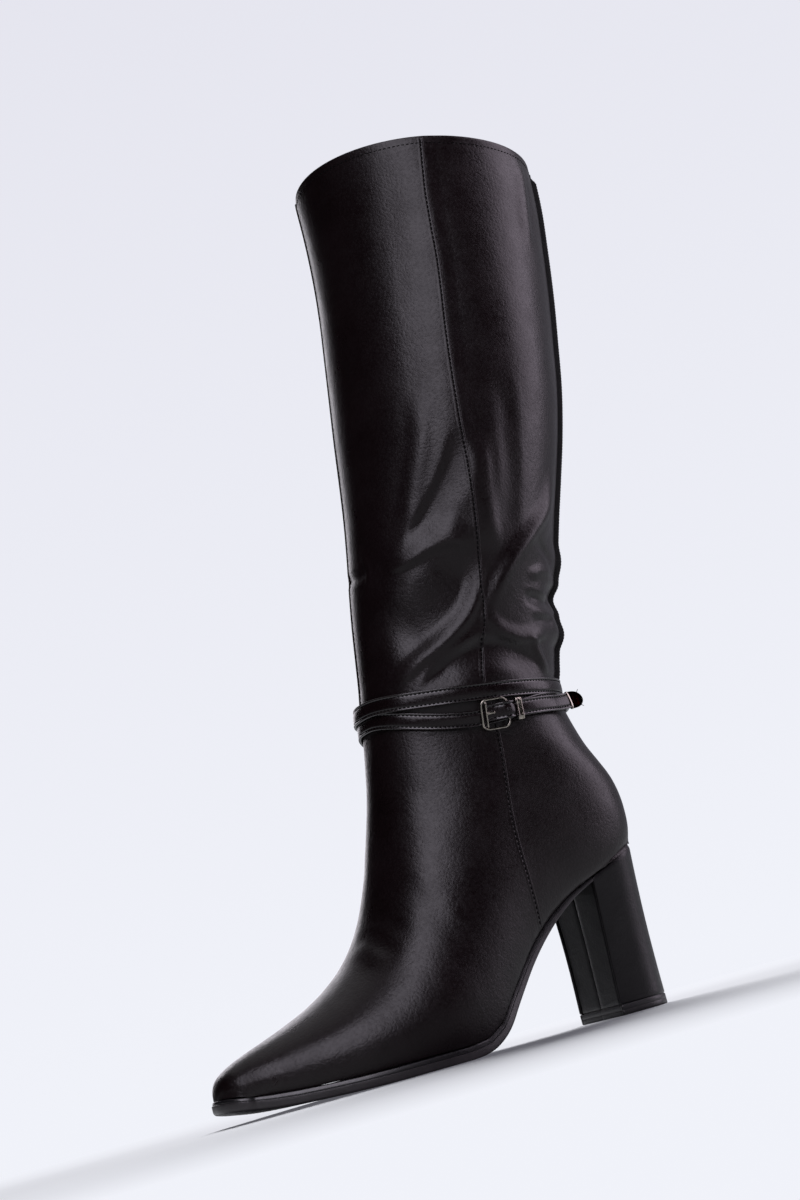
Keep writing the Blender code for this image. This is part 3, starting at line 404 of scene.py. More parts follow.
def relief(points, normals):
    """Height of the folds at each point of the leather."""
    total = np.zeros(len(points))
    for rise, left, right, knots in FOLDS:
        line = even(knots, 2.5, 0, 3)
        reach = max(left, right) + 10.0
        near = np.all((points > line.min(axis=0) - reach) & (points < line.max(axis=0) + reach),
                      axis=1)
        spots, facing = points[near][:, None], normals[near][:, None]
        runs, passed = np.diff(line, axis=0), lengths_along(line)
        long = np.linalg.norm(runs, axis=1)
        away = spots - line[:-1]
        share = np.clip((away * runs).sum(axis=-1) / long ** 2, 0.0, 1.0)
        away = away - share[..., None] * runs
        off = (away * facing).sum(axis=-1)
        away = away - off[..., None] * facing
        distance = np.linalg.norm(away, axis=-1)
        best = (np.arange(len(spots)), distance.argmin(axis=1))
        side = (np.cross(facing[:, 0], runs[best[1]]) * away[best]).sum(axis=1)
        width = np.where(side > 0, left, right)
        shape = np.clip(1.0 - (distance[best] / width) ** 2, 0.0, 1.0) ** 2
        share = (passed[best[1]] + share[best] * long[best[1]]) / passed[-1]
        fade = smoothstep(0.0, FOLD_FADE, share) * smoothstep(0.0, FOLD_FADE, 1.0 - share)
        total[near] += rise * shape * fade * (np.abs(off[best]) < FOLD_SKIN)
    return total


# long slack waves of the leather: height, and the direction and phase of each wave
SLACK = ((0.20, (0.014, 0.026, 0.009), 0.4), (0.16, (-0.020, 0.018, 0.014), 2.1),
         (0.07, (0.030, -0.025, 0.012), 4.0), (0.03, (0.020, 0.045, -0.030), 1.2))
SLIDER_SPOT = (-57.0, -8.5, 434.0)


def slack(points):
    """Gentle unevenness of the leather, less of it on the foot, none under the zip's slider."""
    waves = sum(height * np.sin(2 * math.pi * (points @ np.array(direction)) * 0.5 + phase)
                for height, direction, phase in SLACK)
    amount = 0.25 + 0.75 * smoothstep(160.0, 215.0, points[:, 2])
    away = np.linalg.norm(points - np.array(SLIDER_SPOT), axis=1)
    return waves * (amount * smoothstep(8.0, 26.0, away))


ANKLE_BACK_Y = 6.0
ANKLE_DEEP = 102.0


def strap_share(y):
    """0 at the back of the ankle, 1 at its front."""
    return np.clip((ANKLE_BACK_Y - y) / ANKLE_DEEP, 0.0, 1.0)


def upper_turn_z(y):
    """Height of the middle of the strap's upper turn."""
    return 162.3 + 8.9 * strap_share(y) ** 2.2


def lower_turn_z(y):
    """Height of the middle of the strap's lower turn, and of its free end."""
    return 152.6 + 9.0 * strap_share(y) ** 2.8


def under_strap(points):
    """1 where the strap's turns lie over the leather, fading out beyond their edges."""
    y, z = points[:, 1], points[:, 2]
    top = upper_turn_z(y) + STRAP_WIDTH / 2
    low = lower_turn_z(y) - STRAP_WIDTH / 2
    return (1.0 - smoothstep(1.0, 9.0, z - top)) * smoothstep(-7.0, -1.0, z - low)


EASE_PASSES = 90
EASE_REACH = 26                # rows eased on each side of the bend above the heel


def eased(grid, row):
    """The grid with its bend across one row rounded off; the edges over the sole stay."""
    soft = grid.copy()
    for _ in range(EASE_PASSES):
        soft[1:-1] = 0.25 * soft[:-2] + 0.5 * soft[1:-1] + 0.25 * soft[2:]
    away = np.abs(np.arange(len(grid)) - row)
    near = 1 - smoothstep(0.35 * EASE_REACH, EASE_REACH, away)
    place = np.arange(grid.shape[1])
    share = near[:, None] * smoothstep(0.0, 7.0, np.minimum(place, place[::-1]))[None, :]
    return grid + (soft - grid) * share[..., None]


def make_skin():
    """The last as a fine grid, its normals, the height of the folds, and the numbers of its
    rows at the first closed ring and at the end of the upper."""
    foot = toe_cap() + UPPER_ROWS
    rows = np.array(foot + SHAFT_ROWS)
    knots = lengths_along(rows)
    stops, marks = [0.0], [0]
    ends = (0, len(foot) - len(RINGS), len(foot) - 1, len(rows) - 1)
    for low, high in zip(ends[:-1], ends[1:]):
        count = max(2, int(round((knots[high] - knots[low]) / ROW_SPACING)))
        stops += list(np.linspace(knots[low], knots[high], count + 1)[1:])
        marks.append(len(stops) - 1)
    _, first, upper, _ = marks
    grid = eased(through(knots, rows, np.array(stops)), first - 4)
    grid[first:, -1] = grid[first:, 0]
    normals = grid_normals(grid, first)
    flat = grid.reshape(-1, 3)
    height = relief(flat, normals.reshape(-1, 3)) + slack(flat)
    covered = under_strap(flat)
    height = np.where(height > 0, height * (1.0 - covered), height * (1.0 - 0.35 * covered))
    height = height.reshape(grid.shape[:2])
    top = smoothstep(0.0, 6.0, 0.9 + (grid[-1:, :, 2] - grid[:, :, 2]))
    height[upper:] *= (0.25 + 0.75 * top[upper:])
    height[first:, -1] = height[first:, 0]
    return grid, normals, height, first, upper


# ---- materials --------------------------------------------------------------------------
class Nodes:
    """Short-hand for building the nodes of a material or of the world."""

    def __init__(self, owner):
        owner.use_nodes = True
        self.owner = owner
        self.tree = owner.node_tree
        self.coords = self.add("ShaderNodeTexCoord").outputs

    def add(self, kind, **sockets):
        """A node with its sockets set or linked; i0, i1 ... are sockets by number."""
        node = self.tree.nodes.new(kind)
        for key, value in sockets.items():
            self.put(node, key, value)
        return node

    def put(self, node, key, value):
        number = key[0] == "i" and key[1:].isdigit()
        socket = node.inputs[int(key[1:]) if number else key.replace("_", " ")]
        if isinstance(value, bpy.types.NodeSocket):
            self.tree.links.new(value, socket)
        elif socket.type == "RGBA":
            socket.default_value = tuple(value) + (1.0,)
        else:
            socket.default_value = value

    def millimetres(self, stretch=(1.0, 1.0, 1.0), turn=(0.0, 0.0, 0.0)):
        """Object coordinates in millimetres, stretched along the axes."""
        return self.add("ShaderNodeMapping", Vector=self.coords["Object"], Rotation=turn,
                        Scale=tuple(s / MM for s in stretch)).outputs["Vector"]

    def noise(self, scale, detail=3.0, where=None, roughness=0.5):
        return self.add("ShaderNodeTexNoise", Vector=where or self.millimetres(), Scale=scale,
                        Detail=detail, Roughness=roughness).outputs["Fac"]

    def wave(self, where, bands, **sockets):
        node = self.add("ShaderNodeTexWave", Vector=where, **sockets)
        node.bands_direction = bands
        return node.outputs["Fac"]

    def cells(self, scale, where, feature):
        node = self.add("ShaderNodeTexVoronoi")
        node.feature = feature
        self.put(node, "Vector", where)
        self.put(node, "Scale", scale)
        return node

    def math(self, operation, one, other):
        node = self.add("ShaderNodeMath", i0=one, i1=other)
        node.operation = operation
        return node.outputs[0]

    def plus(self, one, other, share=1.0):
        """One value and a share of another."""
        if share != 1.0:
            other = self.math("MULTIPLY", other, share)
        return self.math("ADD", one, other)

    def ramp(self, value, low, high, to_low=0.0, to_high=1.0, kind="LINEAR"):
        node = self.add("ShaderNodeMapRange", Value=value, i1=low, i2=high, i3=to_low,
                        i4=to_high)
        node.interpolation_type = kind
        return node.outputs["Result"]

    def mix(self, share, one, other):
        node = self.add("ShaderNodeMix")
        node.data_type = "RGBA"
        for key, value in (("i0", share), ("i6", one), ("i7", other)):
            self.put(node, key, value)
        return node.outputs[2]

    def shift(self, vector, amount, scale):
        """Coordinates moved about by noise, for grain that isn't regular."""
        noise = self.add("ShaderNodeTexNoise", Vector=vector, Scale=scale, Detail=2.0)
        node = self.add("ShaderNodeVectorMath", i0=noise.outputs["Color"], i1=(amount,) * 3)
        node.operation = "MULTIPLY_ADD"
        self.put(node, "i2", vector)
        return node.outputs["Vector"]

    def bump(self, height, distance, strength=1.0, **below):
        return self.add("ShaderNodeBump", Height=height, Distance=distance * MM,
                        Strength=strength, **below).outputs["Normal"]

    def finish(self, **sockets):
        for key, value in sockets.items():
            self.put(self.tree.nodes["Principled BSDF"], key, value)
        return self.owner


def material(name):
    return Nodes(bpy.data.materials.new(name))


def leather(name, dark=(0.0036, 0.0015, 0.0019), light=(0.0062, 0.0034, 0.0040), rough=0.33,
            grain=1.7, depth=0.064, wrinkles=0.0, specular=0.3):
    """Coated faux leather: pebbled grain with fine creases, and a soft uneven sheen."""
    n = material(name)
    place = n.shift(n.millimetres(), 0.9, 0.55)
    pebbles = n.cells(1.15 / grain, place, "SMOOTH_F1")
    n.put(pebbles, "Smoothness", 0.35)
    pebbles = pebbles.outputs["Distance"]
    creases = n.cells(0.62 / grain, n.shift(place, 0.7, 1.3), "DISTANCE_TO_EDGE")
    creases = n.ramp(creases.outputs["Distance"], 0.0, 0.16)
    height = n.plus(n.math("MULTIPLY", pebbles, -0.75), creases, 0.30)
    height = n.plus(height, n.noise(2.6 / grain, 3.0), 0.55)
    normal = n.bump(n.noise(0.09, 3.0), 0.35, 0.5)
    if wrinkles:
        across = n.shift(n.millimetres((0.10, 0.10, 0.85)), 1.6, 0.22)
        waves = n.noise(0.9, 2.0, across, 0.4)
        where = n.ramp(n.noise(0.055, 1.0), 0.45, 0.62)
        normal = n.bump(n.math("MULTIPLY", waves, where), wrinkles, Normal=normal)
    normal = n.bump(height, depth, Normal=normal)
    colour = n.mix(n.ramp(n.noise(0.035, 4.0), 0.3, 0.7), dark, light)
    shade = n.ramp(pebbles, 0.1, 0.8, 0.06, -0.03)
    patch = n.ramp(n.noise(0.06, 5.0, None, 0.6), 0.3, 0.7, -0.05, 0.05)
    return n.finish(Base_Color=colour, Roughness=n.plus(n.plus(patch, shade), rough),
                    Normal=normal, Specular_IOR_Level=specular)


def thread_finish():
    n = material("thread")
    twist_and_groove_shade = n.wave(n.millimetres(turn=(0.4, 0.5, 0.3)), "X", Scale=1.4, Distortion=0.5)
    # painted shade: the thread's colour follows its twist, darker in the twist's grooves and
    # lighter on its ridges
    colour = n.mix(twist_and_groove_shade, (0.0016, 0.0015, 0.0016), (0.005, 0.0045, 0.005))
    return n.finish(Base_Color=colour, Roughness=n.ramp(twist_and_groove_shade, 0, 1, 0.42, 0.6),
                    Normal=n.bump(twist_and_groove_shade, 0.05), Specular_IOR_Level=0.05)


def woven(name, dark, light, pitch=0.8, rough=0.85, sheen=0.0):
    """Plain weave of fine threads: its colour varies at random, and painted shade darkens the
    low places of the weave.
    """
    n = material(name)
    place = n.shift(n.millimetres(turn=(0.0, 0.0, 0.12)), 0.15, 0.4)
    warp, weft = (n.wave(place, bands, Scale=0.5 / pitch) for bands in ("Z", "DIAGONAL"))
    fuzz = n.noise(1.5, 4.0)
    cloth = n.plus(n.math("MULTIPLY", warp, weft), fuzz, 0.5)
    # painted shade: the colour follows the weave's height, darker where the threads dip, with
    # random fuzz over it
    colour = n.mix(n.ramp(cloth, 0.2, 1.0), dark, light)
    return n.finish(Base_Color=colour, Roughness=n.ramp(fuzz, 0.3, 0.7, rough - 0.06, rough),
                    Normal=n.bump(cloth, 0.08), Sheen_Weight=sheen, Sheen_Roughness=0.5)


def rubber(name, dark, light, rough, depth=0.03, layers=0.0, tread=False, coat=0.0):
    """Moulded sole: faint mottling and rubbing marks; layers run along its edge."""
    n = material(name)
    height = n.noise(1.8, 4.0)
    if layers:
        height = n.plus(height, n.noise(1.0, 2.0, n.millimetres((0.03, 0.03, 2.4))), layers)
    normal = n.bump(height, depth)
    if tread:
        wave = n.wave(n.millimetres(), "Y", Scale=0.16, Distortion=2.5, Detail_Scale=0.15)
        normal = n.bump(n.ramp(wave, 0.25, 0.6), 0.7, Normal=normal)
    colour = n.mix(n.ramp(n.noise(0.08, 3.0), 0.3, 0.7), dark, light)
    roughness = n.ramp(n.noise(0.3, 5.0, None, 0.65), 0.3, 0.7, rough - 0.05, rough + 0.07)
    return n.finish(Base_Color=colour, Roughness=roughness, Normal=normal, Coat_Weight=coat,
                    Coat_Roughness=0.12)


def metal(name, colour, other, rough, scratch=0.02, tint=(1.0, 1.0, 1.0)):
    """Plated metal: slightly uneven tone, fine brushing and wear."""
    n = material(name)
    brush = n.noise(1.2, 3.0, n.millimetres((0.5, 0.5, 6.0)))
    tone = n.mix(n.ramp(n.noise(0.5, 3.0), 0.35, 0.65), colour, other)
    roughness = n.ramp(brush, 0.3, 0.7, rough - 0.05, rough + 0.08)
    return n.finish(Base_Color=tone, Metallic=1.0, Roughness=roughness,
                    Normal=n.bump(brush, scratch, 0.6), Specular_Tint=tint)


LEATHER = leather("leather")
STRAP_LEATHER = leather("strap_leather", rough=0.25, grain=1.5, depth=0.03)
EDGE_LEATHER = leather("edge_leather", rough=0.20, grain=1.2, depth=0.02, specular=0.6)
HEEL_LEATHER = leather("heel_leather", (0.0022, 0.0017, 0.0021), (0.0044, 0.0036, 0.0043),
                       rough=0.38, grain=1.4, depth=0.045, wrinkles=0.12)
BACK_BAND = leather("back_band_leather", (0.0022, 0.002, 0.0022), (0.004, 0.0036, 0.004),
                    rough=0.75, grain=0.6, depth=0.05)
THREAD = thread_finish()
LINING = woven("lining_cloth", (0.012, 0.011, 0.012), (0.035, 0.032, 0.034), sheen=0.1)
SOCK = woven("insole_cloth", (0.010, 0.009, 0.010), (0.030, 0.027, 0.028), 0.6)
TAPE = woven("zip_tape", (0.004, 0.004, 0.0045), (0.014, 0.013, 0.014), 0.5, 0.8)
SOLE_FINISH = rubber("sole_edge", (0.017, 0.015, 0.016), (0.027, 0.024, 0.026), 0.34,
                     layers=0.7)
RAND_FINISH = rubber("sole_rand", (0.006, 0.0055, 0.0065), (0.011, 0.010, 0.011), 0.30,
                     0.015, coat=0.15)
TREAD_FINISH = rubber("sole_tread", (0.008, 0.0075, 0.008), (0.016, 0.015, 0.016), 0.55,
                      0.05, tread=True)
TOP_PIECE = rubber("heel_top_piece", (0.007, 0.0065, 0.007), (0.013, 0.012, 0.013), 0.42,
                   0.04, layers=0.9)
GUNMETAL = metal("gunmetal", (0.38, 0.35, 0.30), (0.26, 0.24, 0.21), 0.15)
TIP_METAL = metal("tip_metal", (0.004, 0.0018, 0.0014), (0.009, 0.0035, 0.0025), 0.12, 0.01,
                  (0.30, 0.16, 0.13))
ZIP_METAL = metal("zip_metal", (0.16, 0.155, 0.15), (0.10, 0.097, 0.095), 0.28)


# ---- making pieces ----------------------------------------------------------------------
def add_object(name, data):
    thing = bpy.data.objects.new(name, data)
    bpy.context.scene.collection.objects.link(thing)
    return thing


def add_piece(name, points, faces, finishes, replaces=(), slot="black_leather", sharp=None,
              picks=None, check=True):
    """A mesh piece from points in millimetres; it rides on the boot."""
    mesh = bpy.data.meshes.new(name)
    mesh.from_pydata((np.asarray(points, float) * MM).tolist(), [], faces)
    for finish in (finishes if isinstance(finishes, list) else [finishes]):
        mesh.materials.append(finish)
    if picks is not None:
        mesh.polygons.foreach_set("material_index", picks)
    if check:
        tidy = bmesh.new()
        tidy.from_mesh(mesh)
        bmesh.ops.recalc_face_normals(tidy, faces=tidy.faces)
        tidy.to_mesh(mesh)
        tidy.free()
    mesh.polygons.foreach_set("use_smooth", [True] * len(mesh.polygons))
    if sharp:
        mesh.set_sharp_from_angle(angle=math.radians(sharp))
    piece = add_object(name, mesh)
    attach(piece, BODY)
    if replaces:
        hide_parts(*replaces)
    return piece


def skin_faces(index):
    """Quads over a grid of point numbers, without the ones that close to a point."""
    a, b = index[:-1, :-1].ravel(), index[:-1, 1:].ravel()
    c, d = index[1:, 1:].ravel(), index[1:, :-1].ravel()
    faces = (list(dict.fromkeys(corners)) for corners in np.column_stack([a, d, c, b]).tolist())
    return [face for face in faces if len(face) > 2]


def skin_piece(name, layers, closed_from, *rest, **more):
    """A piece over rows of the grid; rows from closed_from on are closed rings."""
    rows, columns = layers.shape[:2]
    index = np.arange(rows * columns).reshape(rows, columns)
    index[closed_from:, -1] = index[closed_from:, 0]
    if np.ptp(layers[0], axis=0).max() < 1e-6:
        index[0] = index[0, 0]
    used, index_new = np.unique(index, return_inverse=True)
    points = layers.reshape(-1, 3)[used]
    return add_piece(name, points, skin_faces(index_new.reshape(index.shape)), *rest,
                     check=False, **more)


def loft(rows, closed=True, ring=False, caps=True):
    """Faces through rows of equally many points; a ring joins the last row to the first."""
    rows = np.array(rows)
    count, wide = rows.shape[:2]
    faces = []
    for row in range(count if ring else count - 1):
        here, following = row * wide, (row + 1) % count * wide
        for place in range(wide if closed else wide - 1):
            side = (place + 1) % wide
            faces.append((here + place, here + side, following + side, following + place))
    if caps and not ring and closed:
        faces += [tuple(range(wide)), tuple(range((count - 1) * wide, count * wide))]
    return rows.reshape(-1, 3), faces


def joined(parts):
    """Several (points, faces) as one mesh."""
    points, faces, start = [], [], 0
    for some, more in parts:
        points.append(some)
        faces += [tuple(start + i for i in face) for face in more]
        start += len(some)
    return np.concatenate(points), faces


class Line:
    """A line over a surface: its places, outward normals, directions and left-hand sides."""

    def __init__(self, places, normals):
        self.places = np.array(places)
        self.normals = unit(np.array(normals))
        self.runs = unit(np.gradient(self.places, axis=0))
        self.lefts = unit(np.cross(self.normals, self.runs))
        self.lengths = lengths_along(self.places)

    def at(self, distance):
        """Place, normal, direction and left at a distance along the line."""
        return [np.array([np.interp(distance, self.lengths, part[:, axis])
                          for axis in range(3)])
                for part in (self.places, self.normals, self.runs, self.lefts)]


def rod(place, along, across, normal, long, radius):
    """Small rounded rod at a place, lying along a direction."""
    rows = [[(x * long / 2, radius * share * math.cos(turn), radius * share * math.sin(turn))
             for turn in turns(6)]
            for x, share in ((-1.0, 0.05), (-0.92, 0.6), (-0.72, 1.0), (0.72, 1.0),
                             (0.92, 0.6), (1.0, 0.05))]
    shape, faces = loft(rows)
    return place + shape @ np.array([along, across, normal]), faces


def rods(frames, long, radius):
    """One mesh of small rods; a frame is (place, direction, normal)."""
    return joined([rod(place, run, unit(np.cross(normal, run)), normal, long, radius)
                   for place, run, normal in frames])


# how far a row of stitches lies to the left of its line, its height and pitch, and the
# length and radius of a stitch
Stitch = namedtuple("Stitch", "side height pitch long radius")
OUTER_STITCH = Stitch(-1.33, 0.06, 2.4, 1.6, 0.36)
COLLAR_STITCH = Stitch(0.0, -0.1, 2.4, 1.6, 0.34)
FRONT_STITCH = Stitch(-1.7, 0.16, 3.0, 2.2, 0.25)
ZIP_STITCH = Stitch(2.2, 0.36, 3.0, 2.2, 0.25)
STRAP_STITCH = Stitch(0.0, 0.06, 2.05, 1.25, 0.23)


def stitch_frames(line, kind, start=None, skip=None):
    """Frames of a row of stitches along a line."""
    frames = []
    for distance in np.arange(start or kind.pitch, line.lengths[-1] - kind.pitch, kind.pitch):
        place, normal, run, left = line.at(distance)
        spot = place + left * kind.side + normal * kind.height
        if skip is None or not skip(spot):
            frames.append((spot, unit(run), unit(normal)))
    return frames


def add_stitches(name, frames, kind):
    add_piece(name, *rods(frames, kind.long, kind.radius), THREAD)


# ---- upper, shaft and lining ------------------------------------------------------------
GRID, FACING, RELIEF, FIRST_RING, UPPER_END = make_skin()
OUTER = GRID + FACING * (WALL + RELIEF)[..., None]
FLOOR = np.interp(OUTER[..., 1], SEAT_KNOTS, SEAT_LINE) + 0.15
OUTER[:FIRST_RING + 1, :, 2] = np.maximum(OUTER[..., 2], FLOOR)[:FIRST_RING + 1]
HEM_ROWS = 8                   # rows of the collar's turned edge over the lining
LINING_OUT = 0.32              # the lining lies this far out from the wall's inner side
RAY_START = 120.0


def make_leather():
    skin_piece("upper_leather", OUTER[:UPPER_END + 1], FIRST_RING, LEATHER,
               replaces=["upper"])
    up = unit(GRID[-1] - GRID[-4])
    rows = list(OUTER[UPPER_END:])
    for turn in np.linspace(0.0, math.pi, 8)[1:]:
        out = RELIEF[-1] + WALL / 2 * (1 + math.cos(turn))
        rows.append(GRID[-1] + FACING[-1] * out[:, None] + up * WALL / 2 * math.sin(turn))
    for back, sink in ((2, 0.0), (3, 0.0), (5, 0.0), (7, 0.0), (9, 0.02), (11, 0.0),
                       (12, 0.08), (13, 0.5)):
        rows.append(GRID[-back] + FACING[-back] * (RELIEF[-back] + sink)[:, None])
    skin_piece("shaft_leather", np.array(rows), 0, LEATHER, replaces=["shaft"])


def make_lining():
    """Cloth lining of foot and shaft in one, its top edge under the leather's turned edge."""
    top = len(GRID) - HEM_ROWS
    rows = np.unique(np.concatenate([np.arange(0, top, 3), [FIRST_RING, top]]))
    sink = (RELIEF[rows][:, ::3] + LINING_OUT)[..., None]
    layer = GRID[rows][:, ::3] + FACING[rows][:, ::3] * sink
    piece = skin_piece("boot_lining", layer, int(np.searchsorted(rows, FIRST_RING)), LINING,
                       slot="insole_fabric")
    piece.data.flip_normals()


def skin_tree():
    index = np.arange(OUTER[..., 0].size).reshape(OUTER.shape[:2])
    index[0] = index[0, 0]
    return BVHTree.FromPolygons(OUTER.reshape(-1, 3).tolist(), skin_faces(index))


SKIN = skin_tree()


def on_skin(point):
    """Nearest place on the leather, and its normal."""
    place, normal, _, _ = SKIN.find_nearest(Vector(point))
    return np.array(place), np.array(normal)


def along_skin(point, ray):
    """Place where a ray through the point meets the leather, and its normal."""
    place, normal, _, _ = SKIN.ray_cast(Vector(point - ray * RAY_START), Vector(ray))
    return np.array(place), np.array(normal)


def line_on_skin(points, step, find=on_skin):
    """A line laid on the leather through points near it."""
    places, normals = zip(*(find(point) for point in even(points, step)))
    return Line(blurred(places, 4), blurred(normals, 12))


def rising_line(low, high, start, stop):
    """A line up the shaft between two rows, drifting from one column to another."""
    rows = np.arange(low, high)
    places = np.linspace(start, stop, len(rows))
    cell = places.astype(int)
    share = (places - cell)[:, None]
    spots = OUTER[rows, cell] * (1 - share) + OUTER[rows, cell + 1] * share
    return Line(blurred(spots, 2), blurred(FACING[rows, cell], 3))


def strip(line, profile, widen=lambda distance, side: side):
    """Strip of leather laid on the skin: profile is (left, height) across it."""
    rows = []
    last = len(line.places) - 1
    for index, (place, normal, left) in enumerate(zip(line.places, line.normals, line.lefts)):
        row = []
        for side, height in profile:
            side = widen(line.lengths[index], side)
            spot = place + left * side
            if abs(side) > 0.2:
                spot = on_skin(spot)[0]
            row.append(spot + normal * (min(height, -0.3) if index in (0, last) else height))
        rows.append(row)
    return loft(rows, closed=False)


def covered(spot):
    """True under the ankle strap."""
    low, high = lower_turn_z(spot[1]) - STRAP_WIDTH / 2, upper_turn_z(spot[1]) + STRAP_WIDTH / 2
    return low - 0.6 < spot[2] < high + 0.4


# points beside the outer seam, and the section of its overlap: a groove carries its thread
OUTER_SEAM = ((58, -8, 448), (58, -14, 416), (57, -18, 379), (55, -24, 339), (53, -28, 304),
              (50, -31, 265), (46, -35, 231), (42, -42, 190), (38, -48, 170), (36, -47, 145),
              (38, -52, 98), (31, -51, 54), (29, -51, 48))
OUTER_LAP = ((-4.8, -0.45), (-3.8, -0.14), (-2.8, 0.04), (-2.0, 0.13), (-1.8, 0.12),
             (-1.55, 0.0), (-1.1, 0.0), (-0.85, 0.13), (-0.5, 0.19), (-0.2, 0.18),
             (0.0, 0.12), (0.1, -0.05), (0.12, -0.3))
# columns of the seams at the strap and at the collar: the shaft is turned a little outward
FRONT_SEAM_AT = (131.6, 137.8)
BACK_SEAM_AT = (9.0, 13.6)
FRONT_LAP = ((-4.2, -0.4), (-3.2, -0.1), (-2.5, 0.08), (-2.1, 0.12), (-1.9, 0.04),
             (-1.5, 0.04), (-1.3, 0.2), (-0.9, 0.55), (-0.45, 0.72), (-0.1, 0.55),
             (0.1, 0.08), (0.3, 0.06), (0.45, 0.45), (0.85, 0.62), (1.3, 0.42), (1.8, 0.1),
             (2.6, -0.3))
# half of the back band's section
FIN = ((0.25, 2.75), (0.7, 2.5), (1.0, 1.8), (1.15, 0.6), (1.5, -0.4))
RIB_PITCH = 1.6
RIB_HEIGHT = 0.1


def make_seams():
    line = line_on_skin(OUTER_SEAM, 0.9)
    add_piece("outer_seam_lap", *strip(line, OUTER_LAP), LEATHER, check=False, sharp=50)
    add_stitches("outer_seam_stitches", stitch_frames(line, OUTER_STITCH, skip=covered),
                 OUTER_STITCH)
    rim = Line(OUTER[-4, :-1], FACING[-4, :-1])
    add_stitches("collar_stitches", stitch_frames(rim, COLLAR_STITCH, 0.6), COLLAR_STITCH)
    line = rising_line(UPPER_END - 10, len(OUTER), *FRONT_SEAM_AT)
    add_piece("front_seam_lap", *strip(line, FRONT_LAP), EDGE_LEATHER, check=False, sharp=50)
    add_stitches("front_seam_stitches", stitch_frames(line, FRONT_STITCH), FRONT_STITCH)


def make_back_band():
    """Proud band down the back of the shaft, finely ribbed along its outer edge."""
    coarse = rising_line(UPPER_END + 4, len(OUTER) - 2, *BACK_SEAM_AT)
    stops = [coarse.at(stop) for stop in np.arange(0.0, coarse.lengths[-1], 0.5)]
    line = Line([stop[0] for stop in stops], blurred([stop[1] for stop in stops], 6))
    section = [(-side, height) for side, height in FIN[::-1]] + list(FIN)
    rows = []
    for place, left, normal, distance in zip(line.places, line.lefts, line.normals,
                                             line.lengths):
        ends = smoothstep(0.0, 6.0, line.lengths[-1] - distance)
        rib = RIB_HEIGHT * math.sin(2 * math.pi * distance / RIB_PITCH)
        rows.append([place + left * side + normal * (
            height if height < 1.0 else height * ends + rib * (height > 2.0))
                     for side, height in section])
    add_piece("back_seam_band", *loft(rows), BACK_BAND, sharp=60)


# ---- zip on the inner side --------------------------------------------------------------
ZIP = ((-60, -8, 446), (-58, -19, 372), (-54, -30, 300), (-46, -38, 235), (-38, -44, 190),
       (-37, -50, 150), (-40, -47, 104), (-33, -41, 64))
ZIP_HALF = 3.9
ZIP_CLOSED = 0.15
LIP = ((-0.15, -0.3), (-0.05, 0.3), (0.12, 0.52), (0.5, 0.6), (1.2, 0.52), (1.8, 0.4),
       (2.2, 0.36), (2.6, 0.42), (3.4, 0.36), (5.0, 0.12), (6.2, -0.02), (7.2, -0.3))
TAPE_SECTION = ((-1.06, 0.04), (-0.8, 0.1), (-0.45, 0.12), (-0.4, 0.2), (0.0, 0.24),
                (0.4, 0.2), (0.45, 0.12), (0.8, 0.1), (1.06, 0.04))
SLIDER_Z = (427.5, 443.5)      # no teeth show here
TOOTH_PITCH = 1.3
TOOTH_REACH = 1.7
TOOTH_RADIUS = 0.42


def make_zip():
    line = line_on_skin(ZIP, 1.0, lambda point: along_skin(point, np.array((1.0, 0.0, 0.0))))
    end = line.lengths[-1]

    def spread(distance):
        """Half of the gap between the leather's two edges, closing at the lower end."""
        opened = smoothstep(0.0, 16.0, end - distance) ** 0.6
        return ZIP_CLOSED + (ZIP_HALF - ZIP_CLOSED) * opened
    lips, stitches, teeth = [], [], []
    for sign in (1, -1):
        lips.append(strip(line, LIP, lambda d, side, s=sign: s * (spread(d) + side)))
        for distance in np.arange(3.0, end - 2.0, ZIP_STITCH.pitch):
            place, normal, run, left = line.at(distance)
            spot = place + left * sign * (spread(distance) + ZIP_STITCH.side)
            if not covered(spot):
                stitches.append((spot + normal * ZIP_STITCH.height, unit(run), unit(normal)))
    add_piece("zip_lips", *joined(lips), LEATHER, check=False, sharp=50)
    add_stitches("zip_stitches", stitches, ZIP_STITCH)
    add_piece("zip_tape", *strip(line, TAPE_SECTION, lambda d, side: side * spread(d)), TAPE,
              slot="insole_fabric", check=False)
    for distance in np.arange(2.0, end - 5.0, TOOTH_PITCH):
        place, normal, _, left = line.at(distance)
        if not covered(place) and not SLIDER_Z[0] < place[2] < SLIDER_Z[1]:
            long = 2 * min(TOOTH_REACH, spread(distance) * 0.8)
            teeth.append(rod(place + normal * TOOTH_RADIUS, left,
                             unit(np.cross(normal, left)), normal, long, TOOTH_RADIUS))
    add_piece("zip_teeth", *joined(teeth), ZIP_METAL, slot="dark_metal")


# ---- sole -------------------------------------------------------------------------------
# share of the edge's height, share of its overhang, and material: 0 tread, 1 edge, 2 rand
EDGE = ((0.0, 0.78, 0), (0.02, 0.93, 1), (0.06, 0.99, 1), (0.18, 1.0, 1), (0.36, 1.0, 1),
        (0.50, 1.0, 1), (0.555, 0.985, 1), (0.58, 0.93, 1), (0.59, 0.80, 1),
        (0.605, 0.79, 2), (0.625, 0.82, 2), (0.66, 0.835, 2), (0.75, 0.80, 2), (0.84, 0.755, 2),
        (0.92, 0.71, 2), (0.965, 0.62, 2), (1.0, 0.44, 2), (1.0, 0.0, 2))
SOLE_CELLS = 8                 # cells across the sole's underside and upper side
TOE_SQUEEZE = 0.35             # how much the rand thins at the toe


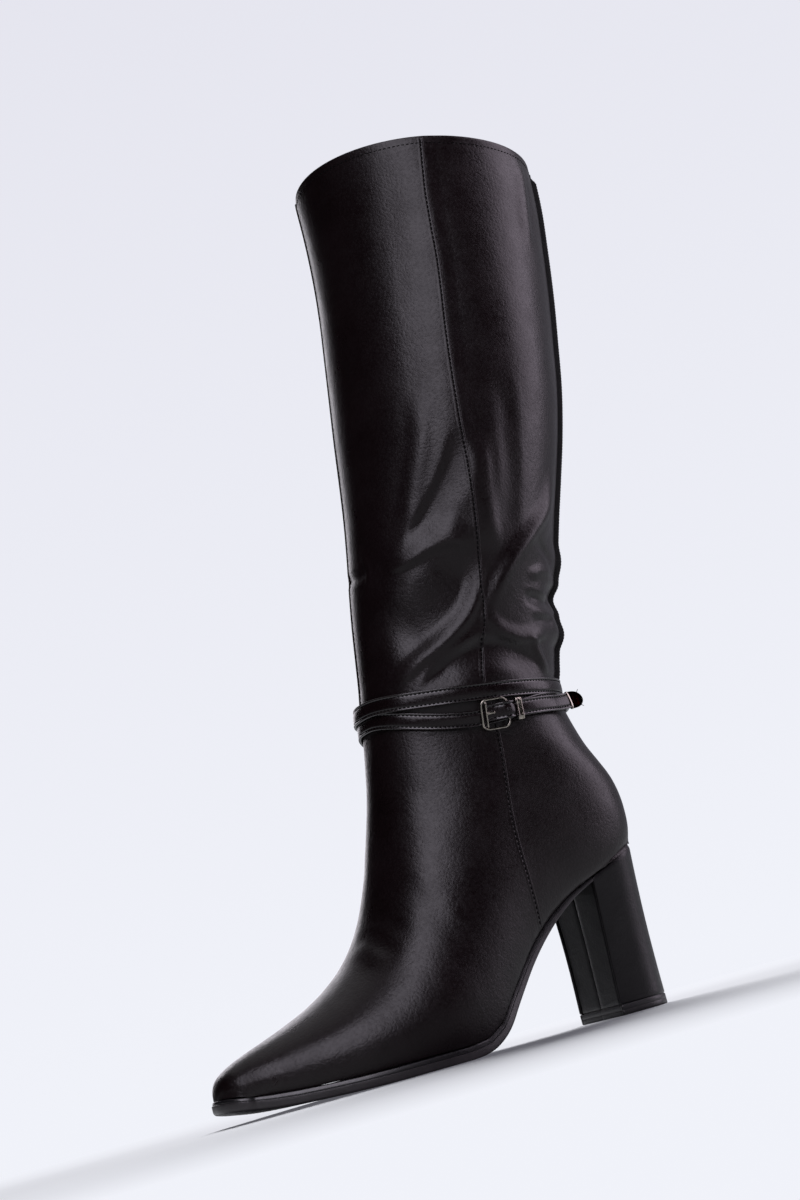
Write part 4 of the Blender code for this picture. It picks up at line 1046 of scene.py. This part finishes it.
def sole_outline():
    """Feather line from the outer breast round the toe to the inner breast, the outward
    direction at each place, and the number of places on one side."""
    turn = TOE_ROUND_Y - (TOE_ROUND_Y - TOE_Y) * np.sin(np.linspace(0, math.pi / 2, 24))
    stations = list(np.arange(BREAST_Y - GAP, TOE_ROUND_Y, -1.6)) + list(turn[1:])
    outer = [(half_width(y, "outer"), y) for y in stations]
    inner = [(-half_width(y, "inner"), y) for y in stations]
    plan = np.array(outer + inner[::-1][1:])
    run = np.gradient(plan, axis=0)
    out = unit(blurred(unit(np.column_stack([-run[:, 1], run[:, 0]])), 8))
    out[0], out[-1] = (1.0, 0.0), (-1.0, 0.0)
    return plan, out, len(stations)


def make_sole():
    plan, out, half = sole_outline()
    rows = []
    for (x, y), side in zip(plan, out):
        edge = at_y(SOLE, "edge", y)
        squeeze = 1.0 - TOE_SQUEEZE * smoothstep(188.0, 211.0, -y)
        row = []
        for height, reach, _ in EDGE:
            px, py = np.array((x, y)) + side * edge * reach
            py = max(py, TOE_Y - SOLE_TOE_OVERHANG)
            low, high = sole_under(py), sole_top(max(py, y - 1.5))
            row.append((px, py, low + (high - low) * height ** squeeze))
        rows.append(row)
    points, faces = loft(rows, closed=False, caps=False)
    wide, count = len(EDGE), len(plan)
    picks = [EDGE[1 + i % (wide - 1)][2] for i in range(len(faces))]
    points = list(points)
    ends = []
    for ring, pick in ((0, 0), (wide - 1, 2)):
        index = np.zeros((half, SOLE_CELLS + 1), int)
        for i in range(half):
            left, right = i * wide + ring, (count - 1 - i) * wide + ring
            if left == right:
                index[i] = left
                continue
            index[i, 0], index[i, -1] = left, right
            for cell in range(1, SOLE_CELLS):
                share = cell / SOLE_CELLS
                index[i, cell] = len(points)
                points.append(points[left] * (1 - share) + points[right] * share)
        more = skin_faces(index)
        faces += more
        picks += [pick] * len(more)
        ends.append(list(index[0]))
    bottom, top = ends
    inner = [(count - 1) * wide + i for i in range(wide - 2, -1, -1)]
    faces.append(tuple(list(range(wide)) + top[1:] + inner + bottom[::-1][1:-1]))
    picks.append(1)
    add_piece("outsole_rubber", np.array(points), faces,
              [TREAD_FINISH, SOLE_FINISH, RAND_FINISH], replaces=["outsole"],
              slot="sole_rubber", picks=picks, sharp=38)


def make_insole():
    """Padded sock over the insole board, a little crowned, its edge turned down."""
    stations = np.concatenate([np.linspace(INSOLE_TOE_Y, BREAST_Y, 90),
                               np.linspace(BREAST_Y, SEAT_BACK_Y - 1.6, 26)[1:]])
    rows = []
    for y in stations:
        outer, inner = (max(half_width(y, side) - INSOLE_MARGIN, 2.0)
                        for side in ("outer", "inner"))
        low = sole_top(y) + GAP
        high = low + INSOLE_THICK * math.hypot(1.0, sole_slope(y))
        row = [(-inner + 0.5, y, low), (outer - 0.5, y, low), (outer, y, low + 0.5),
               (outer, y, high - 0.8)]
        for share in np.linspace(1.0, -1.0, 17):
            reach = (outer if share > 0 else inner) - 0.25
            drop = 0.5 * abs(share) ** 8 - 0.25 * (1 - share * share)
            row.append((share * reach, y, high - drop))
        rows.append(row + [(-inner, y, high - 0.8), (-inner, y, low + 0.5)])
    add_piece("insole_sock", *loft(rows), SOCK, replaces=["insole"], slot="insole_fabric",
              sharp=50)


# ---- heel -------------------------------------------------------------------------------
# across the breast from its middle to a corner: distance in from the corner (or from the
# middle when negative), and depth
BREAST = ((0.9, 0.0), (1.35, 0.0), (1.5, 0.2), (1.62, 1.25), (2.5, 1.3), (2.72, 0.8),
          (3.1, 0.6), (4.2, 0.55), (-3.5, 0.55), (-0.62, 0.55), (-0.34, 0.68), (-0.2, 1.2))
SQUARE = 0.92                  # power that squares the rounded back
FLAT_SHARE = 0.4               # share of the depth in front of the rounded back
HEEL_GROUND = (-HEEL_BASE_DEPTH / 2, HEEL_BASE_DEPTH / 2, HEEL_BASE_WIDTH / 2,
               HEEL_BASE_WIDTH / 2)
HEEL_SEAT = (BREAST_Y, SEAT_BACK_Y + HEEL_PROUD) + tuple(
    half_width(SEAT_ROUND_Y, side) + HEEL_PROUD for side in ("outer", "inner"))


def heel_plan(front, back, outer, inner, detail=1.0, corner=0.9):
    """D-shaped outline: the breast with its grooves, small corners, and a rounded back."""
    start = front + (back - front) * FLAT_SHARE
    points = []
    for sign, reach, order in ((-1, inner, BREAST), (1, outer, BREAST[::-1])):
        for place, depth in order:
            x = reach - place if place > 0 else -place
            points.append((sign * x, front + depth * detail))

    def round_corner(x, spread):
        points.extend((x + corner * math.cos(turn), front + corner + corner * math.sin(turn))
                      for turn in spread)
    round_corner(outer - corner, np.linspace(-math.pi / 2, 0.0, 5)[1:])
    for turn in np.linspace(0.0, math.pi, 72):
        reach = outer if turn <= math.pi / 2 else inner
        points.append((reach * swollen(math.cos(turn), SQUARE),
                       start + (back - start) * math.sin(turn) ** SQUARE))
    round_corner(corner - inner, np.linspace(math.pi, 1.5 * math.pi, 5)[:-1])
    return np.array(points)


def shrunk(plan, by):
    """The plan drawn in towards its middle by about so many millimetres."""
    middle = (plan.max(axis=0) + plan.min(axis=0)) / 2
    size = (plan.max(axis=0) - plan.min(axis=0)) / 2
    return middle + (plan - middle) * (1 - by / size)


def make_heel():
    base = TOP_PIECE_THICK + GAP
    levels = [(0.0, 0.55), (0.0, 0.30), (0.004, 0.08), (0.010, 0.0)]
    levels += [(share, 0.0) for share in np.linspace(0.03, 0.965, 44)]
    levels += [(0.98, 0.05), (0.99, 0.25), (1.0, 0.6)]
    top, low = heel_plan(*HEEL_SEAT), heel_plan(*HEEL_GROUND)
    seat = np.interp(top[:, 1], SEAT_KNOTS, SEAT_LINE)
    rows = []
    for share, inset in levels:
        plan = low + (top - low) * share ** HEEL_TAPER
        plan = shrunk(plan * (1.0 - HEEL_WAIST * math.sin(math.pi * share)), inset)
        rows.append(np.column_stack([plan, base + (seat - base) * share]))
    neck = rows[0].copy()
    neck[:, 2] = TOP_PIECE_THICK + 0.01
    add_piece("heel_cover", *loft([neck] + rows), HEEL_LEATHER, replaces=["heel"], sharp=38)
    plan = heel_plan(*HEEL_GROUND, 0.12, 0.7)
    rows = [np.column_stack([shrunk(plan, inset), np.full(len(plan), z)]) for z, inset in (
        (0.0, 0.5), (0.12, 0.15), (0.4, 0.0), (2.3, 0.0), (2.42, 0.05), (2.6, 0.05),
        (2.72, 0.0), (4.7, 0.0), (4.92, 0.12), (5.0, 0.4))]
    add_piece("heel_tread", *loft(rows), TOP_PIECE, replaces=["heel_top_piece"],
              slot="sole_rubber", sharp=38)


# ---- ankle strap ------------------------------------------------------------------------
ANKLE_ROWS = np.array(UPPER_ROWS[len(FOOT) - 8:] + SHAFT_ROWS[:3])
UNDER_STRAP = WALL + 0.6       # the strap's back lies this far off the last
UNDER_END = UNDER_STRAP + STRAP_THICK + GAP
BUCKLE_AT = 0.217              # place round the ankle of the buckle's middle
BUCKLE_LONG = 13.5
BUCKLE_TALL = 15.5
BUCKLE_CORNER = 2.9
BUCKLE_LOWER = 0.8             # its middle lies this far under the strap's
PRONG_LONG = 5.2
WIRE = 1.7
REAR_BAR = BUCKLE_LONG / 2 - WIRE / 2
END_STOPS = 48.0               # the free end's reach behind the buckle's middle
END_LEAVES = 38.0              # it leaves the ankle here
ANKLE_ROUND = 26.0
END_THICK = 1.4
STRAP_FACE = 1.62              # height of the strap's face in its section
KEEPER_FROM = 10.2
KEEPER_LONG = 3.2
TURN_STEPS = 264


def ankle_point(around, height):
    """Point on the last around the ankle: 0 at the back, a quarter at the outer side."""
    place = (around % 1.0) * SECTION_CELLS
    cell = int(place) % SECTION_CELLS
    share = place - int(place)
    line = ANKLE_ROWS[:, cell] * (1 - share) + ANKLE_ROWS[:, cell + 1] * share
    z = line[:, 2]
    wanted = height(line[len(z) // 2, 1])
    wanted = height(np.interp(wanted, z, line[:, 1]))
    return np.array([np.interp(wanted, z, line[:, axis]) for axis in range(3)])


def ankle_frame(around, height):
    """Middle of a band on the last at one place, its direction up, and outward."""
    along = ankle_point(around + 0.004, height) - ankle_point(around - 0.004, height)
    low = ankle_point(around, lambda y: height(y) - STRAP_WIDTH / 2)
    high = ankle_point(around, lambda y: height(y) + STRAP_WIDTH / 2)
    return (low + high) / 2, unit(high - low), unit(np.cross(high - low, along))


def behind_line():
    """Places round the ankle and their distance behind the buckle's middle."""
    places = BUCKLE_AT - np.linspace(-0.06, 0.22, 71)
    line = []
    for place in places:
        middle, _, outward = ankle_frame(place, lower_turn_z)
        line.append(middle + outward * UNDER_END)
    along = lengths_along(np.array(line))
    return places, along - np.interp(-BUCKLE_AT, -places, along)


BEHIND = behind_line()
FRAMES = {}


def strap_frame(distance):
    """Middle of the lower turn's face at a distance behind the buckle, up, outward and the
    direction on along the strap."""
    key = round(float(distance), 4)
    if key not in FRAMES:
        place = float(np.interp(distance, BEHIND[1], BEHIND[0]))
        middle, up, outward = ankle_frame(place, lower_turn_z)
        along = unit(ankle_frame(place - 0.01, lower_turn_z)[0]
                     - ankle_frame(place + 0.01, lower_turn_z)[0])
        up = unit(up - np.dot(up, along) * along)
        FRAMES[key] = (middle + outward * UNDER_END, up, outward, along)
    return FRAMES[key]


def on_strap(distance, rise, out):
    middle, up, outward, _ = strap_frame(distance)
    return middle + up * rise + outward * out


def end_lift(distance):
    """How far the free end is raised: over the buckle's rear bar, and where it leaves the
    ankle at the back; its start lies down in the buckle."""
    reach = 5.0 if distance < REAR_BAR else 4.2
    over = (WIRE + 0.6) * math.exp(-((distance - REAR_BAR) / reach) ** 2)
    return over + max(distance - END_LEAVES, 0.0) ** 2 / (2 * ANKLE_ROUND)


# half of the strap's section, from the middle of its face to the middle of its back:
# share of half the width, and height off its back; its polished borders run from the
# channel of the stitches to the back
STRAP_HALF = ((0.0, 1.66), (0.25, 1.64), (0.45, 1.56), (0.56, 1.44), (0.63, 1.22),
              (0.70, 1.20), (0.76, 1.42), (0.83, 1.58), (0.90, 1.60), (0.955, 1.46),
              (0.99, 1.16), (1.0, 0.80), (0.985, 0.42), (0.94, 0.12), (0.85, 0.0), (0.4, 0.0))
BORDER = (3, 12)
STITCH_AT = 0.665              # the channel's middle, as a share of half the width
CHANNEL = 1.24                 # height of the channel's floor


def shown_lower_z(y):
    """The lower turn's middle as it lies: tucked under the upper turn at the front, and a
    little above the free end at the back."""
    share = strap_share(y)
    front = smoothstep(0.40, 0.62, share)
    back = 2.0 * (1 - smoothstep(0.22, 0.42, share))
    return (1 - front) * (lower_turn_z(y) + back) + front * (151.7 + 13.5 * share ** 4.5)


def turn_frames(height, over):
    """Frames of a turn round the ankle; it rides so far over the other one at the front."""
    frames = []
    for around in np.arange(TURN_STEPS) / TURN_STEPS:
        middle, up, outward = ankle_frame(around, height)
        lift = over * smoothstep(0.80, 0.95, strap_share(middle[1]))
        frames.append((middle + outward * (UNDER_STRAP + lift), up, outward))
    return frames


def strap_piece(name, node, frames, half, thick=1.0, ring=True):
    """A strap through frames, and the frames of the stitches along both its edges."""
    section = [(share * half, out * thick) for share, out in STRAP_HALF]
    section += [(-rise, out) for rise, out in section[:0:-1]]
    points, faces = loft([[middle + up * rise + outward * out for rise, out in section]
                          for middle, up, outward in frames], ring=ring)
    wide = len(section)
    place = [min(i, wide - i) for i in range(wide + 1)]
    edge = [BORDER[0] <= min(pair) and max(pair) <= BORDER[1]
            for pair in zip(place[:-1], place[1:])]
    whole = len(faces) - len(faces) % wide
    add_piece(name, points, faces, [STRAP_LEATHER, EDGE_LEATHER], replaces=[node],
              picks=[int(i < whole and edge[i % wide]) for i in range(len(faces))])
    stitched = frames + frames[:1] if ring else frames[3:]
    stitches = []
    for sign in (1, -1):
        row = [middle + up * sign * half * STITCH_AT + outward * CHANNEL * thick
               for middle, up, outward in stitched]
        line = Line(row, [outward for _, _, outward in stitched])
        stitches += stitch_frames(line, STRAP_STITCH)
    return stitches


def make_straps():
    half = STRAP_WIDTH / 2
    stitches = strap_piece("ankle_strap_upper", "strap_upper_turn",
                           turn_frames(upper_turn_z, 1.7), half)
    stitches += strap_piece("ankle_strap_lower", "strap_lower_turn",
                            turn_frames(shown_lower_z, 0.0), half)
    frames = []
    for distance in np.arange(-BUCKLE_LONG / 2 + WIRE + 0.2, END_STOPS + 0.6, 0.6):
        middle, up, outward, _ = strap_frame(distance)
        frames.append((middle + outward * end_lift(distance), up, outward))
    stitches += strap_piece("ankle_strap_end", "strap_end", frames, half - 0.15,
                            END_THICK / STRAP_FACE, ring=False)
    add_stitches("strap_stitches", stitches, STRAP_STITCH)


HOLES_AT = (-1.6, 5.6)
HOLE_RIM = ((1.15, -0.12), (1.0, 0.05), (0.85, 0.07), (0.72, -0.02), (0.66, -0.12))
# radius of the flat dark disc painted as the shade inside each hole
HOLE_SHADE_RADIUS = 0.72
HOLE_AROUND = 14


def make_holes():
    """Punched holes of the free end: a soft rim round a flat dark disc, which is painted shade
    standing in for the inside of the hole.
    """
    rims, shade_discs = [], []
    for distance in HOLES_AT:
        middle, up, outward, along = strap_frame(distance)
        middle = middle + outward * (end_lift(distance) + END_THICK + 0.02)
        spokes = [along * math.cos(turn) + up * math.sin(turn) for turn in turns(HOLE_AROUND)]
        rims.append(loft([[middle + spoke * radius + outward * height
                           for radius, height in HOLE_RIM] for spoke in spokes],
                         closed=False, ring=True))
        # painted shade: a flat dark disc just off the strap's face, in the back band's matte
        # black, stands in for the hole
        shade_disc = [middle + spoke * HOLE_SHADE_RADIUS + outward * 0.005 for spoke in spokes]
        shade_discs.append((np.array(shade_disc), [tuple(range(HOLE_AROUND))]))
    add_piece("strap_hole_rims", *joined(rims), STRAP_LEATHER)
    add_piece("strap_hole_shade_discs", *joined(shade_discs), BACK_BAND)


# ---- buckle, keeper and tip -------------------------------------------------------------
WIRE_AROUND = 14
WIRE_SQUARE = 0.75             # power that flattens the wire's sides
WIRE_END = 0.55                # size of its ends, as a share


def wire(places, outs, wide, thick, closed=False):
    """Rounded wire along places; outs are the directions that its thickness follows."""
    places, outs = np.array(places), np.array(outs)
    if closed:
        run = np.roll(places, -1, axis=0) - np.roll(places, 1, axis=0)
    else:
        run = np.gradient(places, axis=0)
    rows = []
    for index, (place, out, across) in enumerate(zip(places, outs, unit(np.cross(outs, run)))):
        size = WIRE_END / 2 if not closed and index in (0, len(places) - 1) else 1 / 2
        rows.append([place + across * wide * size * swollen(math.cos(turn), WIRE_SQUARE)
                     + out * thick * size * swollen(math.sin(turn), WIRE_SQUARE)
                     for turn in turns(WIRE_AROUND)])
    return loft(rows, ring=closed)


def strap_wire(stops, wide, thick, closed=False):
    """Wire through stops over the lower turn: distance behind the buckle, rise and height."""
    return wire([on_strap(*stop) for stop in stops],
                [strap_frame(stop[0])[2] for stop in stops], wide, thick, closed)


def rounded_loop(long, tall, corner, steps=7, along=10):
    """Rounded rectangle of (distance, rise) about the buckle's middle, evenly stepped."""
    loop = []
    for quarter, (x, y) in enumerate(((1, 1), (-1, 1), (-1, -1), (1, -1))):
        centre = np.array((x * (long / 2 - corner), y * (tall / 2 - corner)))
        for step in range(steps + 1):
            turn = math.pi / 2 * (quarter + step / steps)
            loop.append(centre + corner * np.array((math.cos(turn), math.sin(turn))))
        x, y = -y, x
        goal = np.array((x * (long / 2 - corner), y * (tall / 2 - corner))) + loop[-1] - centre
        last = loop[-1]
        loop += [last * (1 - share) + goal * share
                 for share in np.linspace(0.0, 1.0, along + 2)[1:-1]]
    return loop


def make_buckle():
    outline = rounded_loop(BUCKLE_LONG - 0.1, BUCKLE_TALL - 1.3, BUCKLE_CORNER)
    frame_wire = strap_wire([(distance - 0.6, rise - BUCKLE_LOWER, 1.0)
                             for distance, rise in outline], 1.1, 1.5, True)
    # the straight inner bar that the prong rests on
    reach = BUCKLE_TALL / 2 - 1.2
    bar = strap_wire([(1.7 - BUCKLE_LONG / 2, rise - BUCKLE_LOWER, 1.25)
                      for rise in np.linspace(-reach, reach, 12)], 0.95, 1.3)
    add_piece("buckle_loop", *joined([frame_wire, bar]), GUNMETAL, replaces=["buckle_frame"],
              slot="dark_metal")
    prong = []
    for share in np.linspace(0.0, 1.0, 12):
        distance = -BUCKLE_LONG / 2 + 1.2 + share * PRONG_LONG
        rest = end_lift(distance) + END_THICK + 0.35
        down = smoothstep(0.0, 0.6, share)
        out = 2.35 * (1 - down) + rest * down - 0.9 * smoothstep(0.8, 1.0, share)
        prong.append((distance, -0.2, out))
    add_piece("buckle_pin", *strap_wire(prong, 1.25, 1.05), GUNMETAL,
              replaces=["buckle_prong"], slot="dark_metal")


def make_keeper():
    """Flat metal loop with two raised bright rails over the free end."""
    half = STRAP_WIDTH / 2 + 1.0
    centre = KEEPER_FROM + KEEPER_LONG / 2
    _, up, outward, _ = strap_frame(centre)
    middle = on_strap(centre, 0.0, 1.0)
    parts = []
    for distance, wide, raised in ((KEEPER_FROM + 0.45, 0.95, 0.25),
                                   (KEEPER_FROM + KEEPER_LONG - 0.45, 0.95, 0.25),
                                   (centre, 2.4, -0.05)):
        top = end_lift(centre) + END_THICK + 0.8 + raised
        path = [on_strap(distance, rise - 0.3, out) for rise, out in (
            (-half, -STRAP_THICK), (-half, 0.0), (-half, top - 0.9), (-half + 0.25, top - 0.25),
            (-half + 0.9, top), (-2.0, top), (0.0, top), (2.0, top), (half - 0.9, top),
            (half - 0.25, top - 0.25), (half, top - 0.9), (half, 0.9))]
        path = even(path, 0.5)
        rises = (path - middle) @ up / half
        outs = [unit(up * rise * abs(rise) ** 7 + outward * 0.4) for rise in rises]
        parts.append(wire(path, outs, wide, 0.75))
    add_piece("strap_loop", *joined(parts), GUNMETAL, replaces=["strap_keeper"],
              slot="dark_metal")


# rows of the strap's metal end: share of its length, of its width and of its thickness
TIP = ((0.0, 1.0, 1.0), (0.03, 1.03, 1.06), (0.08, 1.03, 1.06), (0.10, 0.99, 0.98),
       (0.25, 0.985, 0.97), (0.42, 0.965, 0.95), (0.56, 0.92, 0.93), (0.68, 0.84, 0.90),
       (0.78, 0.73, 0.86), (0.87, 0.58, 0.80), (0.94, 0.40, 0.70), (0.985, 0.2, 0.5),
       (1.0, 0.04, 0.2))
TIP_LONG = 11.2
TIP_HALF_WIDE = STRAP_WIDTH / 2 + 0.25
TIP_HALF_THICK = 1.15
TIP_SQUARE = (0.8, 0.62)       # powers that square its section across and through
TIP_AROUND = 36
COLLAR_ROWS = 2                # rows of faces on the bright collar; the rest is the dark cap


def make_tip():
    """Bullet-shaped metal end: a bright collar, then a dark crowned cap."""
    base, before = (on_strap(place, 0.0, end_lift(place) + END_THICK / 2)
                    for place in (END_STOPS, END_STOPS - 2.0))
    behind = unit(base - before)
    up = strap_frame(END_STOPS)[1]
    up = unit(up - np.dot(up, behind) * behind)
    outward = np.cross(behind, up)
    points, faces = loft([
        [base + behind * (0.35 + TIP_LONG * along)
         + up * swollen(math.cos(turn), TIP_SQUARE[0]) * TIP_HALF_WIDE * wide
         + outward * swollen(math.sin(turn), TIP_SQUARE[1]) * TIP_HALF_THICK * thick
         for turn in turns(TIP_AROUND)] for along, wide, thick in TIP])
    picks = [int(index >= COLLAR_ROWS * TIP_AROUND) for index in range(len(faces))]
    picks[-2] = 0
    add_piece("strap_end_cap", points, faces, [GUNMETAL, TIP_METAL], replaces=["strap_tip"],
              slot="dark_metal", picks=picks, sharp=50)
    ends = []
    for rise, lean, rear in ((3.4, 1.6, 3.2), (-3.6, -1.3, 2.4)):
        start = base + behind * 7.2 + up * rise * 0.8 + outward * 0.2
        path = [start + behind * rear * t + up * lean * t ** 1.5 * 1.2 + outward * 0.5 * t
                for t in np.linspace(0.0, 1.0, 8)]
        ends.append(wire(path, [outward] * 8, 0.28, 0.28))
    add_piece("loose_thread_ends", *joined(ends), THREAD)


# ---- camera, light and floor ------------------------------------------------------------
TARGET = np.array((-0.8, -61.6, 224.6))
AZIMUTH, ELEVATION, ROLL, DISTANCE = 63.74, -11.25, -15.49, 1048.7
LENS = 63.0
LIGHTS_AIM = Vector((0, -0.05, 0.2))
PALE = (0.875, 0.89, 0.95)
PALE_ABOVE = (0.785, 0.785, 0.86)
# azimuth and elevation of the pale wall that the leather reflects, the cosines between
# which it brightens, and the light's strength off it and on it
PALE_WALL_AT = (208, 8)
PALE_WALL = (0.50, 0.92, 0.008, 0.32)
# name, azimuth, elevation, distance, width, height, power and colour of the lights that
# leave out the floor, and then of the one that lights it alone (distances in metres)
BOOT_LIGHTS = (("key", 62, 38, 2.2, 1.35, 2.1, 34, (0.98, 0.92, 1.05)),
               ("rear", 161, 24, 2.2, 1.25, 2.3, 25, (0.97, 0.84, 1.0)),
               ("rim", 262, 14, 2.2, 1.2, 1.2, 9, (0.97, 0.93, 1.0)),
               ("overhead", 250, 70, 2.3, 2.4, 2.4, 9, (1.0, 0.97, 1.02)))
FLOOR_LIGHTS = (("ground", 244, 52, 2.3, 1.5, 1.5, 64, (1.0, 1.0, 1.0)),)


def direction(azimuth, elevation):
    """Unit vector towards a place seen at this azimuth (0 is in front of the toe)."""
    a, e = math.radians(azimuth), math.radians(elevation)
    return np.array((math.sin(a) * math.cos(e), -math.cos(a) * math.cos(e), math.sin(e)))


def make_camera():
    towards = direction(AZIMUTH, ELEVATION)
    right = unit(np.cross(-towards, (0.0, 0.0, 1.0)))
    up = np.cross(right, -towards)
    roll = math.radians(ROLL)
    data = bpy.data.cameras.new("photo_view")
    data.sensor_fit = "VERTICAL"
    data.sensor_height = 36.0
    data.lens = LENS
    data.clip_start = 0.05
    camera = add_object("photo_view", data)
    matrix = np.eye(4)
    matrix[:3, 0] = right * math.cos(roll) + up * math.sin(roll)
    matrix[:3, 1] = up * math.cos(roll) - right * math.sin(roll)
    matrix[:3, 2] = towards
    matrix[:3, 3] = (TARGET + towards * DISTANCE) * MM
    camera.matrix_world = Matrix(matrix.tolist())
    bpy.context.scene.camera = camera


def softboxes(lights, floor, group_name, state):
    """Soft lights aimed at the boot; they leave out the floor, or light it alone."""
    group = bpy.data.collections.new(group_name)
    group.objects.link(floor)
    for name, azimuth, elevation, distance, wide, tall, power, colour in lights:
        data = bpy.data.lights.new(name, "AREA")
        data.shape = "RECTANGLE"
        data.size, data.size_y = wide, tall
        data.energy = power
        data.color = colour
        lamp = add_object(name, data)
        away = Vector(direction(azimuth, elevation) * distance)
        lamp.location = away + LIGHTS_AIM
        lamp.rotation_euler = away.to_track_quat("Z", "Y").to_euler()
        lamp.visible_camera = False
        lamp.light_linking.receiver_collection = group
        group.collection_objects[0].light_linking.link_state = state


def make_world():
    """Pale surroundings for the camera; for the boot, a dim room with one pale wall."""
    world = bpy.data.worlds.new("studio")
    bpy.context.scene.world = world
    n = Nodes(world)
    towards = n.coords["Generated"]
    height = n.add("ShaderNodeSeparateXYZ", i0=towards).outputs["Z"]
    facing = n.add("ShaderNodeVectorMath")
    facing.operation = "DOT_PRODUCT"
    n.put(facing, "i0", towards)
    n.put(facing, "i1", tuple(direction(*PALE_WALL_AT)))
    wall = n.ramp(facing.outputs["Value"], *PALE_WALL, "SMOOTHSTEP")
    lit = n.add("ShaderNodeBackground", Color=(0.80, 0.78, 0.90), Strength=wall)
    shown = n.tree.nodes["Background"]
    n.put(shown, "Color", n.mix(n.ramp(height, 0.0, 0.5), PALE, PALE_ABOVE))
    mix = n.add("ShaderNodeMixShader", i1=lit.outputs[0], i2=shown.outputs[0],
                Fac=n.add("ShaderNodeLightPath").outputs["Is Camera Ray"])
    n.put(n.tree.nodes["World Output"], "Surface", mix.outputs[0])


def make_stage():
    """Pale floor that runs out into the pale surroundings, and soft studio light."""
    rows = [[(radius * math.cos(t), radius * math.sin(t) - 0.06, 0.0) for t in turns(64)]
            for radius in (0.0, 0.3, 0.6, 1.0, 1.6, 2.6, 4.0)]
    points, faces = loft(rows, caps=False)
    mesh = bpy.data.meshes.new("floor")
    mesh.from_pydata(points.tolist(), [], faces)
    floor = add_object("floor", mesh)
    n = material("pale_floor")
    away = n.add("ShaderNodeVectorMath", i0=n.millimetres((0.001, 0.00062, 0.0)),
                 i1=(0.0, -0.062, 0.0))
    away.operation = "DISTANCE"
    share = n.ramp(away.outputs["Value"], 0.12, 0.42)
    tint = n.mix(n.ramp(n.noise(0.004, 3.0), 0.3, 0.7), (0.80, 0.81, 0.85),
                 (0.84, 0.85, 0.89))
    # the floor glows at half strength in reflections, which keeps the leather's blacks deep
    seen = n.ramp(n.add("ShaderNodeLightPath").outputs["Is Camera Ray"], 0.0, 1.0, 0.5)
    mesh.materials.append(n.finish(
        Base_Color=n.mix(share, tint, (0.0, 0.0, 0.0)), Roughness=0.7,
        Emission_Color=n.mix(share, (0.10, 0.10, 0.115), PALE), Emission_Strength=seen,
        Specular_IOR_Level=0.0))
    make_world()
    softboxes(BOOT_LIGHTS, floor, "floor_apart", "EXCLUDE")
    softboxes(FLOOR_LIGHTS, floor, "floor_alone", "INCLUDE")
    bpy.context.scene.view_settings.view_transform = "Standard"


# ---- the whole boot ---------------------------------------------------------------------
for make in (make_camera, make_leather, make_lining, make_seams, make_back_band, make_zip,
             make_sole, make_insole, make_heel, make_straps, make_holes, make_buckle,
             make_keeper, make_tip):
    make()
for node in ("zip_slider", "zip_pull"):
    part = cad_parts[node]
    part.data.materials.clear()
    part.data.materials.append(ZIP_METAL)
make_stage()
